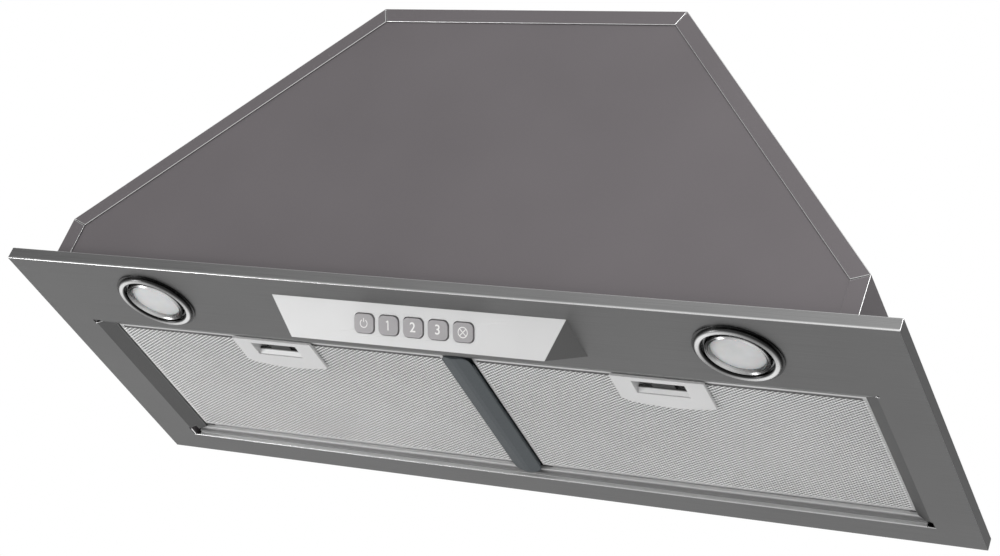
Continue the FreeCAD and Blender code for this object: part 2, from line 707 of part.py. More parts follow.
def make_back_rail():
    """Folded rail with three steps. The filters' hinge tabs rest on its upper lip."""
    body = new_body("back_rail")
    run, rise, sheet = d.rail_step_run, d.rail_step_rise, d.rail_sheet
    low = panel_under
    seen = [
        (rail_face, low),
        (rail_face, low + rise),
        (rail_face - run, low + rise),
        (rail_face - run, low + 2 * rise),
        (rail_lip, low + 2 * rise),
        (rail_lip, rail_lip_top),
    ]
    hidden = [
        (rail_lip + sheet, rail_lip_top),
        (rail_lip + sheet, low + 2 * rise + sheet),
        (rail_face - run + sheet, low + 2 * rise + sheet),
        (rail_face - run + sheet, low + rise + sheet),
        (rail_face + sheet, low + rise + sheet),
        (rail_face + sheet, panel_top + sheet),
        (rail_face + sheet + d.rail_foot, panel_top + sheet),
        (rail_face + sheet + d.rail_foot, panel_top),
        (rail_face + sheet, panel_top),
        (rail_face + sheet, low),
    ]
    sketch = new_sketch(body, "YZ_Plane")
    draw_polygon(sketch, seen + hidden)
    pad(body, sketch, 2 * (opening_half - d.rail_end_gap), midplane=True)
    return keep("back_rail", body)


def make_filter_divider():
    """Keeled bar between the filters, with a channel above it that ties bevel and rail."""
    half, ridge = d.divider_width / 2, -d.divider_drop
    flank = ridge + d.divider_keel
    seat, middle = flank + d.divider_edge, d.divider_ridge / 2
    start, stop = bevel_front - d.divider_lap, rail_lip + d.divider_lap / 2
    body = new_body("divider_bar", 0, start, 0)
    sketch = new_sketch(body, "XZ_Plane")
    keel = [(-half, seat), (-half, flank), (-middle, ridge), (middle, ridge), (half, flank), (half, seat)]
    draw_polygon(sketch, keel)
    pad(body, sketch, stop - start, reverse=True)
    plan = new_body("divider_plan", 0, (start + stop) / 2, ridge - 1)
    plan_sketch = new_sketch(plan, "XY_Plane")
    draw_polygon(plan_sketch, rectangle(d.divider_width, stop - start))
    block = pad(plan, plan_sketch, d.divider_drop)
    round_edges(plan, block, half * 0.6, is_upright)
    bar = doc.addObject("Part::Common", "Bar")
    bar.Base = body
    bar.Tool = plan
    web, wall, top = d.divider_web / 2, d.sheet, filter_top - 1
    channel = cut(
        box((-web, web), (compartment_back, rail_lip - d.cover_gap), (seat - d.divider_edge / 2, top)),
        box((-web + wall, web - wall), (compartment_back - 1, rail_lip), (seat + wall, top + 1)),
    )
    return keep("filter_divider", fuse(bar, channel))


def make_compartment_cover():
    """Folded cover that shuts the lamps and switches off from the air space, with latch slots."""
    half = body_half - d.sheet - d.cover_gap
    front = body_front + 2 * d.sheet
    back = compartment_back
    top = compartment_top
    blocks = fuse(
        box((-half, half), (back - d.sheet, back), (hem_top, top)),
        box((-half, half), (front, back), (top - d.sheet, top)),
    )
    slots = []
    for side in (-1, 1):
        centre = pull_centre(side)
        across = (centre - d.slot_width / 2, centre + d.slot_width / 2)
        middle = tongue_level() + d.tongue_thick / 2
        slots.append(box(across, (back - 3, back + 1), (hem_top - 1, middle + d.slot_height / 2)))
    return keep("compartment_cover", cut(blocks, *slots))


# ---------------------------------------------------------------- grease filters
def handle_centre(side):
    """Middle of a handle. Both filters are the same part, so both handles sit left of the middle."""
    return side * filter_middle - d.handle_shift


def pull_centre(side):
    """Middle of the finger pull in a handle."""
    return handle_centre(side) - d.handle_width / 2 + d.pull_inset + d.pull_width / 2


def pull_window():
    """Front and rear edge of the finger pull in the plate."""
    return pull_front, pull_front + d.pull_depth


def pocket_rear():
    """Rear of the pocket: room behind the latch for its spring and its travel."""
    return pull_window()[1] + d.latch_lap + d.latch_travel + d.spring_closed


def tongue_level():
    """Underside of the latch tongue, just above the hem it would catch on."""
    return hem_top + 0.4


def filter_span(side):
    """Left and right edge of one filter."""
    if side < 0:
        return (-filter_outer, -filter_inner)
    return (filter_inner, filter_outer)


def pocket_span(side, extra=0):
    """Outside of the finger pull's pocket: (x, y) pairs."""
    centre = pull_centre(side)
    half = d.pull_width / 2 + d.pull_wall + extra
    front, back = pull_front - d.pull_wall - extra, pocket_rear() + d.pull_wall + extra
    return (centre - half, centre + half), (front, back)


def make_filter(name, side):
    """One filter: frame, lower mesh, core, handle with its latch, and the latch's spring."""
    left, right = filter_span(side)
    front, rear, low, high = filter_front, filter_rear, filter_bottom, filter_top
    wall = d.filter_sheet
    frame_low = low + d.net_sheet
    pocket_x, pocket_y = pocket_span(side, d.cover_gap)
    shell = box((left, right), (front, rear), (frame_low, high))
    inside = box((left + wall, right - wall), (front + wall, rear - wall), (frame_low + wall, high - wall))
    edge, top_edge = d.filter_border, d.filter_top_border
    below = box((left + edge, right - edge), (front + edge, rear - edge), (low - 1, low + 3))
    above = box((left + top_edge, right - top_edge), (front + top_edge, rear - top_edge), (high - 3, high + 1))
    centre, half = pull_centre(side), d.tongue_width / 2 + d.latch_slack
    level = tongue_level()
    slot_z = (level - d.latch_slack / 2, level + d.tongue_thick + d.latch_slack / 2)
    slot = box((centre - half, centre + half), (front - 1, pocket_y[0] + 1), slot_z)
    pocket = box(pocket_x, pocket_y, (low - 1, high + 1))
    frame = cut(shell, inside, below, above, slot, pocket)
    hinge_low = rail_lip_top + d.cover_gap
    flange = box(
        (left + d.hinge_end, right - d.hinge_end),
        (rear - wall, rail_lip + d.hinge_lap),
        (hinge_low, hinge_low + wall),
    )
    keep(f"filter_frame_{name}", fuse(frame, flange))

    keep(f"filter_mesh_{name}", shaped(net(((left, right), (front, rear)), low, pocket_x, pocket_y)))
    fit = wall + d.cover_gap
    inner = (left + fit, right - fit), (front + fit, rear - fit)
    core_low, core_high = frame_low + wall, high - wall
    core_pocket = box(pocket_x, pocket_y, (core_low - 1, core_high + 1))
    core = cut(box(*inner, (core_low, core_high)), core_pocket, slot)
    keep(f"filter_core_{name}", core)
    make_handle(name, side)


def net(outline, low, pocket_x, pocket_y):
    """Mesh sheet: one face with rows of diamond openings, solid where the handle goes through."""
    (x0, x1), (y0, y1) = (numbers(*pair) for pair in outline)
    margin = float(d.net_margin)
    (px0, px1), (py0, py1) = (numbers(*pair) for pair in (pocket_x, pocket_y))
    columns, rows = int(d.net_columns.value), int(d.net_rows.value)
    step_x, step_y = (x1 - x0 - 2 * margin) / columns, (y1 - y0 - 2 * margin) / rows
    long_half = float(d.net_gap) / 2
    short_half = long_half * 0.7
    low, thick = numbers(low, d.net_sheet)
    sheet = Part.makePlane(x1 - x0, y1 - y0, Vector(x0, y0, low))
    tools = [Part.makePlane(px1 - px0, py1 - py0, Vector(px0, py0, low))]
    for row in range(rows):
        for column in range(columns):
            x = x0 + margin + (column + 0.5) * step_x
            y = y0 + margin + (row + 0.5) * step_y
            beside = px0 - long_half - 1 < x < px1 + long_half + 1
            if beside and y < py1 + short_half + 1:
                continue
            corners = [(x - long_half, y), (x, y - short_half), (x + long_half, y), (x, y + short_half)]
            points = [Vector(u, v, low) for u, v in corners]
            tools.append(Part.Face(Part.makePolygon(points + points[:1])))
    return sheet.cut(tools).Faces[0].extrude(Vector(0, 0, thick))


def make_handle(name, side):
    """Handle plate with its finger pull, the latch in it, and the latch's spring."""
    pocket_x, pocket_y = pocket_span(side)
    pocket_top = filter_top - 0.8
    wall, gap = d.pull_wall, d.cover_gap
    pocket = box(pocket_x, pocket_y, (handle_under + d.handle_plate / 2, pocket_top))
    pull_x = (pocket_x[0] + wall, pocket_x[1] - wall)
    front, rear = pull_window()
    ceiling = pocket_top - wall
    window = box(pull_x, (front, rear), (handle_under - 1, ceiling))
    behind = box(pull_x, (rear - 1, pocket_rear()), (handle_under + d.pull_skin, ceiling))
    middle, level = pull_centre(side), tongue_level()
    tongue_top = level + d.tongue_thick
    half = d.tongue_width / 2
    slot_x = (middle - half - gap, middle + half + gap)
    slot = box(slot_x, (pocket_y[0] - 1, front + 1), (level - gap, tongue_top + gap))
    plate = shaped(handle_plate(handle_centre(side)))
    keep(f"filter_handle_{name}", cut(fuse(plate, pocket), window, behind, slot))

    face_low = handle_under + d.latch_face_drop
    face_rear = rear - gap
    face_front = face_rear - d.latch_face_run
    foot = rear + d.latch_lap
    behind = [(foot, face_low), (foot, tongue_top), (face_front, tongue_top)]
    profile = [(face_front, level), (face_rear, face_low)] + behind
    width = d.pull_width - 2 * gap
    block = new_body("latch_" + name, middle, 0, 0)
    sketch = new_sketch(block, "YZ_Plane")
    draw_polygon(sketch, profile)
    pad(block, sketch, width, midplane=True)
    nose = bevel_front + d.tongue_gap
    tongue = box((middle - half, middle + half), (nose, face_front + 1), (level, tongue_top))
    keep(f"filter_latch_{name}", fuse(block, tongue))
    keep(f"latch_spring_{name}", shaped(latch_spring(middle, foot, pocket_rear(), level)))


def handle_plate(x):
    """Plate with a straight front edge, a bowed rear edge and a cut-off rear left corner."""
    half, bow, thick = numbers(d.handle_width / 2, d.handle_bow, d.handle_plate)
    corner, rise = numbers(d.handle_corner, d.handle_corner_rise)
    x, front, low = numbers(x, handle_front, handle_under)
    rear = front + float(d.handle_depth)
    left, right = x - half, x + half
    outline = [
        Vector(left + corner, rear - bow, low),
        Vector(left, rear - bow - rise, low),
        Vector(left, front, low),
        Vector(right, front, low),
        Vector(right, rear - bow, low),
    ]
    edges = [Part.LineSegment(a, b).toShape() for a, b in zip(outline, outline[1:])]
    edges.append(Part.Arc(outline[-1], Vector(x, rear, low), outline[0]).toShape())
    return Part.Face(Part.Wire(edges)).extrude(Vector(0, 0, thick))


def latch_spring(x, start, stop, level):
    """Folded strip that pushes the latch block forwards: a zigzag along Y between block and wall."""
    folds = 4
    strip, tall, half_width = numbers(d.spring_strip, d.spring_width, d.spring_half)
    x, start, stop, level = numbers(x, start, stop, level)
    step = (stop - start - strip) / folds
    corners = []
    for index in range(folds + 1):
        side = 1 if index % 2 else -1
        corners.append(Vector(x + side * half_width, start + step * index, level - tall))
    rise, up = Vector(0, strip, 0), Vector(0, 0, tall)
    legs = [prism([a, b, b + rise, a + rise], up) for a, b in zip(corners, corners[1:])]
    return legs[0].fuse(legs[1:]).removeSplitter()


# ---------------------------------------------------------------- controls
def face_placement():
    """Frame on the housing's front face: X across, Y up the face, Z outwards."""
    run, drop, along = numbers(d.wedge_ridge, d.wedge_drop, d.button_place)
    length = math.hypot(run, drop)
    y, z = numbers(wedge_front, panel_under)
    base = Vector(0, y + along * run / length, z - along * drop / length)
    return Placement(base, Rotation(Vector(1, 0, 0), 180 - math.degrees(math.atan2(drop, run))))


def roof(front, back, half):
    """Hip roof hanging from the panel, with the housing's slopes, on a given base rectangle."""
    run, drop, depth, end = numbers(d.wedge_ridge, d.wedge_drop, d.wedge_depth, d.wedge_end)
    base = float(panel_under)
    fall = (back - front) * drop / depth
    ridge_y = front + fall * run / drop
    ridge_half = half - end * fall / drop
    a, b = Vector(-half, front, base), Vector(half, front, base)
    c, e = Vector(half, back, base), Vector(-half, back, base)
    p, q = Vector(-ridge_half, ridge_y, base - fall), Vector(ridge_half, ridge_y, base - fall)
    outlines = [[a, b, c, e], [a, p, q, b], [b, q, c], [c, q, p, e], [e, p, a]]
    faces = [Part.Face(Part.makePolygon(points + points[:1])) for points in outlines]
    return Part.makeSolid(Part.makeShell(faces))


def face_block(width, height, low, high, x=0.0, y=0.0):
    """Block in the face's frame, centred on x, y, between two distances along the normal."""
    block = Part.makeBox(width, height, high - low, Vector(x - width / 2, y - height / 2, low))
    return block


def button_places():
    pitch = float(d.button_pitch)
    return [pitch * step for step in (-2, -1, 0, 1, 2)]


def make_control_housing():
    """Hollow wedge under the panel with five button holes and two posts for the switch board."""
    front, back, half = numbers(wedge_front, wedge_back, d.wedge_width / 2)
    run, drop, depth, end, wall = numbers(
        d.wedge_ridge, d.wedge_drop, d.wedge_depth, d.wedge_end, d.wedge_wall
    )
    front_in = wall * math.hypot(run, drop) / drop
    back_in = wall * math.hypot(depth - run, drop) / drop
    end_in = wall * math.hypot(end, drop) / drop
    shell = roof(front, back, half).cut(roof(front + front_in, back - back_in, half - end_in))
    place_on = face_placement()
    board, post, bore, spacing = numbers(d.board_depth, d.post_radius, d.post_bore, d.post_spacing)
    drills = []
    for x in (-spacing / 2, spacing / 2):
        pillar = Part.makeCylinder(post, board - 0.5 * wall, Vector(x, 0, -board))
        pillar.Placement = place_on
        shell = shell.fuse(pillar)
        drills.append(Part.makeCylinder(bore, board - wall, Vector(x, 0, -board)))
    width, height, gap, corner = numbers(d.button_width, d.button_height, d.button_gap, d.button_corner)
    for x in button_places():
        hole = face_block(width + 2 * gap, height + 2 * gap, -2 * wall, wall, x)
        upright = [edge for edge in hole.Edges if is_upright(edge)]
        drills.append(hole.makeFillet(corner, upright))
    for drill in drills:
        drill.Placement = place_on
        shell = shell.cut(drill)
    slab = face_block(2 * width_of_face(), 2 * width_of_face(), -float(d.fascia), wall)
    slab.Placement = place_on
    keep("control_fascia", shaped(shell.common(slab)))
    return keep("control_housing", shaped(shell.cut(slab).removeSplitter()))


def width_of_face():
    """Longer than the housing's face in any direction."""
    return float(d.wedge_width + d.wedge_depth)


BUTTONS = ("button_off", "button_speed_1", "button_speed_2", "button_speed_3", "button_lamp")


def make_button(label, step):
    """Push button: cap in the face, flange behind it, and a stem towards its switch."""
    place_on = face_placement()
    body = doc.addObject("PartDesign::Body", label)
    shift = place_on.multVec(Vector(float(d.button_pitch) * step, 0, 0))
    body.Placement = Placement(shift, place_on.Rotation)
    cap_low = -d.wedge_wall - d.button_seat
    cap = new_sketch(body, "XY_Plane", cap_low)
    draw_polygon(cap, rectangle(d.button_width, d.button_height))
    cap_pad = pad(body, cap, d.button_proud - cap_low)
    round_edges(body, cap_pad, d.button_corner, is_upright)
    flange = new_sketch(body, "XY_Plane", cap_low)
    lap = 2 * d.button_lap
    draw_polygon(flange, rectangle(d.button_width + lap, d.button_height + lap))
    pad(body, flange, d.button_flange, reverse=True)
    stem = new_sketch(body, "XY_Plane", cap_low - d.button_flange)
    draw_circle(stem, d.stem_radius)
    pad(body, stem, d.button_stem, reverse=True)
    return keep(label, body)


def make_switches():
    """Switch board parallel to the buttons' face, its five micro switches and its two screws."""
    place_on = face_placement()
    board, thick, spacing = numbers(d.board_depth, d.board_thick, d.post_spacing)
    plate = face_block(float(d.board_width), float(d.board_height), -board - thick, -board)
    hole, shank_radius, grip = numbers(d.board_hole, d.board_screw_radius, d.board_screw_grip)
    head_radius, head_height = numbers(d.board_screw_head, d.board_screw_head_height)
    screws = []
    for x in (-spacing / 2, spacing / 2):
        plate = plate.cut(Part.makeCylinder(hole, 4 * thick, Vector(x, 0, -board - 2 * thick)))
        shank = Part.makeCylinder(shank_radius, grip + thick, Vector(x, 0, -board - thick))
        head = Part.makeCylinder(head_radius, head_height, Vector(x, 0, -board - thick - head_height))
        screws.append(head.fuse(shank))
    side, tall, travel = numbers(d.switch_side, d.switch_thick, d.button_travel)
    reach = d.wedge_wall + d.button_seat + d.button_flange + d.button_stem
    stem_end = float(reach + d.screw_clear) + travel
    bodies = []
    for x in button_places():
        case = face_block(side, side, -board, -board + tall, x)
        plunger = Part.makeCylinder(float(d.plunger_radius), board - stem_end, Vector(x, 0, -board))
        bodies.append(case.fuse(plunger))
    for label, shape in (
        ("switch_board", plate),
        ("micro_switches", Part.makeCompound(bodies)),
        ("control_screws", Part.makeCompound(screws)),
    ):
        shape.Placement = place_on
        keep(label, shaped(shape))


# ---------------------------------------------------------------- lamps
def make_lamp(name, side):
    """Outer bezel, lens ring, lens and can of one lamp, all turned round its axis."""
    at = (side * lamp_x, lamp_y, panel_under)
    outer, bore, drop, neck = d.bezel_radius, d.bezel_bore, d.bezel_drop, d.bezel_neck
    tall, crest, lip = d.bezel_neck_height, d.bezel_crest, d.bezel_lip
    raised = [(bore, -drop), (crest, -drop), (crest, -lip), (outer, -lip), (outer, 0)]
    bezel = raised + [(neck, 0), (neck, tall), (bore, tall)]
    bezel_body = turned(f"bezel_{name}", bezel, *at)
    round_edges(bezel_body, bezel_body.Tip, d.bezel_round, is_lowest)
    keep(f"lamp_bezel_{name}", bezel_body)
    ring, lens = d.lens_ring_radius, d.lens_radius
    crest, valley = -d.lens_ring_crest, -d.lens_ring_valley
    start, edge, rise, seat = lens + d.lens_gap, -d.lens_ring_edge, d.lens_ring_rise, d.lens_seat
    ridge = (ring - start) / 6
    ridges = [(start, edge)]
    for step, level in enumerate((crest, valley, crest, valley, crest), start=1):
        ridges.append((start + ridge * step, level))
    shelf = lens - d.lens_shelf
    behind = [(ring, edge), (ring, rise), (shelf, rise), (shelf, seat), (start, seat)]
    keep(f"lens_ring_{name}", turned(f"ring_{name}", ridges + behind, *at))
    back = seat - d.screw_clear
    bulge = d.lens_bulge
    face = [(0, -bulge), (lens * 0.6, -bulge * 0.87), (lens, -bulge * 0.4)]
    glass = face + [(lens, back), (0, back)]
    keep(f"lamp_lens_{name}", turned(f"lens_{name}", glass, *at))
    can, wall, tall = d.can_radius, d.can_wall, d.can_height
    rim = d.sheet - 2 * d.screw_clear
    cup = [(can - wall, rim), (can, rim), (can, tall), (0, tall), (0, tall - wall), (can - wall, tall - wall)]
    keep(f"lamp_can_{name}", turned(f"can_{name}", cup, *at))


def make_lamp_details():
    """LED modules inside the cans and the spring clips that hold the lamps up against the panel."""
    boards, clips = [], []
    radius = d.can_radius - d.can_wall - 0.2
    for side in (-1, 1):
        x = side * lamp_x
        boards.append(rod(radius, d.led_board, x, lamp_y, panel_under + d.led_height))
        for way in (-1, 1):
            clips.append(shaped(lamp_clip(x, way)))
    keep("led_modules", group(*boards))
    keep("lamp_clips", group(*clips))


def lamp_clip(x, way):
    """Bent strip from the can's side down to the top of the panel."""
    thick, width, rise, seat = numbers(d.clip_strip, d.clip_width, d.clip_rise, d.clip_seat)
    x, y, low, can = numbers(x, lamp_y, panel_top + d.screw_clear, d.can_radius + d.screw_clear)
    reach = float(d.bezel_neck + d.clip_reach)
    points = [
        (can, low + rise),
        (can, low + rise - seat),
        (reach, low),
        (reach + 1.5 * thick, low),
        (can + thick, low + rise - seat + 0.75 * thick),
        (can + thick, low + rise),
    ]
    outline = [Vector(x + way * u, y - width / 2, v) for u, v in points]
    return prism(outline, Vector(0, width, 0))


# ---------------------------------------------------------------- blower
def volute(extra, x0, x1, top):
    """The scroll's outline pushed along the shaft, its wall drawn outwards by an extra."""
    start = float(d.wheel_radius + d.volute_gap)
    half, cy, cz = numbers(d.outlet_depth / 2, shaft_y, d.shaft_height)
    first = math.acos((-half - cy) / start)
    grown = half - cy
    count = 12
    points = []
    for index in range(count + 1):
        share = index / count
        angle = first + share * (2 * math.pi - first)
        radius = start + (grown - start) * share + extra
        points.append(Vector(x0, cy + radius * math.cos(angle), cz + radius * math.sin(angle)))
    if extra:
        tip = points[0]
        points[0] = Vector(x0, -half - extra, tip.z)
    curve = Part.BSplineCurve()
    curve.interpolate(points)
    rear, front = half + extra, -half - extra
    corners = [points[-1], Vector(x0, rear, top), Vector(x0, front, top), points[0]]
    edges = [curve.toShape()]
    edges += [Part.LineSegment(a, b).toShape() for a, b in zip(corners, corners[1:])]
    return Part.Face(Part.Wire(edges)).extrude(Vector(x1 - x0, 0, 0))


def make_scroll(label, side):
    """Half of the blower's scroll, with an inlet hole, a seam rib and an outlet flange."""
    wall, half, rib, inlet = numbers(d.scroll_wall, d.scroll_width / 2, d.scroll_seam, d.inlet_radius)
    top, flange, stop = numbers(under_top, collar_half - d.scroll_inset, d.seam_stop)
    cy, cz = numbers(shaft_y, d.shaft_height)
    shell = volute(wall, 0, half, top)
    shell = shell.fuse(volute(wall + rib, 0, wall, top - stop))
    shell = shell.fuse(Part.makeBox(flange, 2 * flange, wall, Vector(0, -flange, top - wall)))
    shell = shell.cut(volute(0, -1, half - wall, top + 1))
    shell = shell.cut(Part.makeCylinder(inlet + 2, 5 * wall, Vector(half - 3 * wall, cy, cz), Vector(1, 0, 0)))
    spacing, clear = numbers(collar_screw, d.screw_radius + d.screw_clear)
    for y in (-spacing, spacing):
        shell = shell.cut(Part.makeCylinder(clear, 10, Vector(spacing, y, top - 5)))
    if side > 0:
        for _, y, z in bracket_places():
            start = Vector(half - 3 * wall, y, z)
            shell = shell.cut(Part.makeCylinder(clear, 6 * wall, start, Vector(1, 0, 0)))
    shell = shell.removeSplitter()
    if side < 0:
        shell = shell.mirror(Vector(0, 0, 0), Vector(1, 0, 0))
    return keep(label, shaped(shell))


def make_inlet_ring(label, side):
    """Bell mouth seated in the scroll's inlet hole, its flange on the scroll's wall."""
    inlet = d.inlet_radius
    outline = [
        (inlet + 5, 0),
        (inlet + 5, 1.5),
        (inlet + 1, 1.5),
        (inlet - 1.5, 0),
        (inlet - 2, -6),
        (inlet, -6),
        (inlet + 1.8, -1.5),
        (inlet + 1.8, 0),
    ]
    turn = Rotation(Vector(0, 1, 0), 90 * side)
    ring = turned(label + "_body", outline, side * d.scroll_width / 2, shaft_y, d.shaft_height, turn)
    return keep(label, ring)


def bracket_places():
    """Centres of the three bracket screws, round the shaft."""
    reach, cy, cz = numbers(bracket_reach, shaft_y, d.shaft_height)
    angles = [math.radians(120 * index) for index in range(3)]
    return [(0, cy + reach * math.cos(a), cz + reach * math.sin(a)) for a in angles]


def make_impeller():
    """Double-inlet squirrel cage: middle disc, end rings, curved blades and a hub."""
    outer, inner, width, thick = numbers(d.wheel_radius, d.inlet_radius, 2 * wheel_half, d.blade_thick)
    shaft, gap, count = float(d.shaft_radius), float(d.bore_gap), int(d.blade_count.value)
    plate, hub, hub_length = numbers(d.wheel_plate, d.hub_radius, d.hub_length)
    wheel = Part.makeCylinder(outer, plate, Vector(0, 0, -plate / 2))
    wheel = wheel.fuse(Part.makeCylinder(hub, hub_length, Vector(0, 0, -hub_length / 2)))
    ring = Part.makeCylinder(outer, plate, Vector(0, 0, -width / 2))
    ring = ring.cut(Part.makeCylinder(inner - 1, 3 * plate, Vector(0, 0, -width / 2 - plate)))
    other = ring.copy()
    other.translate(Vector(0, 0, width - plate))
    blades = []
    bow = (outer - inner) * 0.35
    for index in range(count):
        points = []
        for radius, lead in ((inner, 0.0), ((inner + outer) / 2, bow), (outer - 0.5, 2.6 * bow)):
            angle = 2 * math.pi * index / count + lead / radius
            points.append(Vector(radius * math.cos(angle), radius * math.sin(angle), -width / 2))
        arc = Part.Arc(*points).toShape()
        centre = arc.Curve.Center
        radius = arc.Curve.Radius
        lifted = [centre + (point - centre) * ((radius + thick) / radius) for point in points]
        back = Part.Arc(*lifted).toShape()
        sides = [Part.LineSegment(points[0], lifted[0]), Part.LineSegment(points[2], lifted[2])]
        wire = Part.Wire(Part.__sortEdges__([arc, back] + [side.toShape() for side in sides]))
        blades.append(Part.Face(wire).extrude(Vector(0, 0, width)))
    wheel = wheel.fuse([ring, other] + blades)
    wheel = wheel.cut(Part.makeCylinder(shaft + gap, 2 * width, Vector(0, 0, -width)))
    wheel.Placement = Placement(vector(0, shaft_y, d.shaft_height), ALONG["x"])
    return keep("impeller", shaped(wheel))


def make_motor():
    """Motor inside the impeller's right half, its shaft, bracket, grommets and screws."""
    cy, cz = shaft_y, d.shaft_height
    start, radius = d.motor_start, d.motor_radius
    wall_x = d.scroll_width / 2
    plate_x = wall_x + d.grommet_length
    stop = plate_x + d.bracket_plate + d.motor_overhang
    length = stop - start
    hole = d.shaft_radius + d.bore_gap
    motor = cut(
        fuse(
            rod(radius, length, start, cy, cz, "x"),
            rod(d.motor_boss_radius, d.motor_boss, start - d.motor_boss, cy, cz, "x"),
            rod(d.motor_cap_radius, d.motor_cap, stop, cy, cz, "x"),
        ),
        rod(hole, length + 2 * d.motor_start, start - d.motor_start / 2, cy, cz, "x"),
    )
    keep("motor", motor)
    shaft_length = stop + d.shaft_start + d.shaft_end
    keep("motor_shaft", rod(d.shaft_radius, shaft_length, -d.shaft_start, cy, cz, "x"))
    y0, z0, lift, plate = numbers(cy, cz, plate_x, d.bracket_plate)
    around, reach = numbers(radius + 0.2, bracket_reach)
    ring = Part.makeCylinder(around + 7, plate)
    for index in range(3):
        arm = Part.makeBox(reach - around, 14, plate, Vector(around + 2, -7, 0))
        arm = arm.fuse(Part.makeCylinder(7, plate, Vector(reach, 0, 0)))
        arm = arm.common(Part.makeCylinder(reach + 7, plate))
        arm = arm.cut(Part.makeCylinder(float(d.screw_radius + d.screw_clear), 3 * plate, Vector(reach, 0, -plate)))
        arm.rotate(Vector(0, 0, 0), Vector(0, 0, 1), 120 * index)
        ring = ring.fuse(arm)
    ring = ring.cut(Part.makeCylinder(around, 3 * plate, Vector(0, 0, -plate))).removeSplitter()
    ring.Placement = Placement(Vector(lift, y0, z0), turn_to_x())
    keep("motor_bracket", shaped(ring))
    rubbers, screws = [], []
    clear = d.screw_radius + d.screw_clear
    for _, y, z in bracket_places():
        pad_rod = rod(5, d.grommet_length, wall_x, y, z, "x")
        rubbers.append(cut(pad_rod, rod(clear, d.grommet_length + 2, wall_x - 1, y, z, "x")))
        grip = d.bracket_screw_grip
        shank = rod(d.screw_radius, d.grommet_length + plate + grip, wall_x - grip, y, z, "x")
        screws.append(fuse(shank, rod(d.screw_head, d.screw_head_height, plate_x + plate, y, z, "x")))
    keep("motor_grommets", group(*rubbers))
    keep("bracket_screws", group(*screws))


def turn_to_x():
    """Turns a plate drawn with its first arm on +X so that the arm points back and Z becomes +X."""
    return Rotation(Vector(1, 1, 1), 120)


# ---------------------------------------------------------------- outlet and damper
def make_collar():
    """Square flange with a round spigot, a ledge for the flaps and holes for their spindle."""
    half, top, plate = collar_half, d.body_top, d.collar_plate
    outer, inner = d.duct_radius, d.duct_radius - d.duct_wall
    flange = doc.addObject("Part::Common", "Flange")
    flange.Base = box((-half, half), (-half, half), (top, top + plate))
    flange.Tool = rod(half * 1.3, plate, 0, 0, top)
    spigot = fuse(flange, rod(outer, plate + d.duct_length, 0, 0, top))
    ledge_top = spindle_z - d.flap_thick / 2 - d.cover_gap
    spindle_hole = rod(d.spindle_radius + d.bore_gap, 2 * outer + 4, 0, -outer - 2, spindle_z, "y")
    spacing = collar_screw
    holes = []
    for x in (-1, 1):
        for y in (-1, 1):
            holes.append(rod(d.screw_radius + d.screw_clear, 6, x * spacing, y * spacing, top - 1))
    through = 2 * d.duct_length
    narrow = rod(inner - d.stop_width, through, 0, 0, top - 1)
    wide = rod(inner, through, 0, 0, ledge_top)
    lower = rod(inner, ledge_top - d.stop_thick - top + 1, 0, 0, top - 1)
    return keep("duct_collar", cut(spigot, narrow, wide, lower, spindle_hole, *holes))


def make_flap(label, side):
    """Half-round damper flap with two knuckles round the spindle."""
    radius, thick, z = numbers(d.duct_radius - d.duct_wall - d.flap_gap, d.flap_thick, spindle_z)
    knuckle, length = numbers(d.knuckle_radius, d.knuckle_length)
    bore = float(d.spindle_radius + d.bore_gap)
    clear = knuckle + 0.5
    disc = Part.makeCylinder(radius, thick, Vector(0, 0, z - thick / 2))
    disc = disc.cut(Part.makeBox(2 * radius, 2 * radius, 3 * thick, Vector(clear - 2 * radius, -radius, z - thick)))
    places = [-1.5 * length, 0.5 * length] if side < 0 else [-0.5 * length, 1.5 * length]
    for y in places:
        start = y - length / 2 + 0.2
        barrel = Part.makeCylinder(knuckle, length - 0.4, Vector(0, start, z), Vector(0, 1, 0))
        bridge = Part.makeBox(clear + 1, length - 0.4, thick, Vector(0, start, z - thick / 2))
        disc = disc.fuse([barrel, bridge])
    disc = disc.cut(Part.makeCylinder(bore, 2 * radius, Vector(0, -radius, z), Vector(0, 1, 0)))
    disc = disc.removeSplitter()
    if side < 0:
        disc = disc.mirror(Vector(0, 0, 0), Vector(1, 0, 0))
    return keep(label, shaped(disc))


def make_outlet():
    make_collar()
    outer = d.duct_radius
    keep("damper_spindle", rod(d.spindle_radius, 2 * outer, 0, -outer, spindle_z, "y"))
    make_flap("damper_flap_left", -1)
    make_flap("damper_flap_right", 1)
    spacing = collar_screw
    screws = []
    head_z = d.body_top + d.collar_plate
    for x in (-1, 1):
        for y in (-1, 1):
            length = d.collar_screw_length
            shank = rod(d.screw_radius, length, x * spacing, y * spacing, head_z - length)
            head = rod(d.screw_head, d.screw_head_height, x * spacing, y * spacing, head_z)
            screws.append(fuse(shank, head))
    keep("collar_screws", group(*screws))


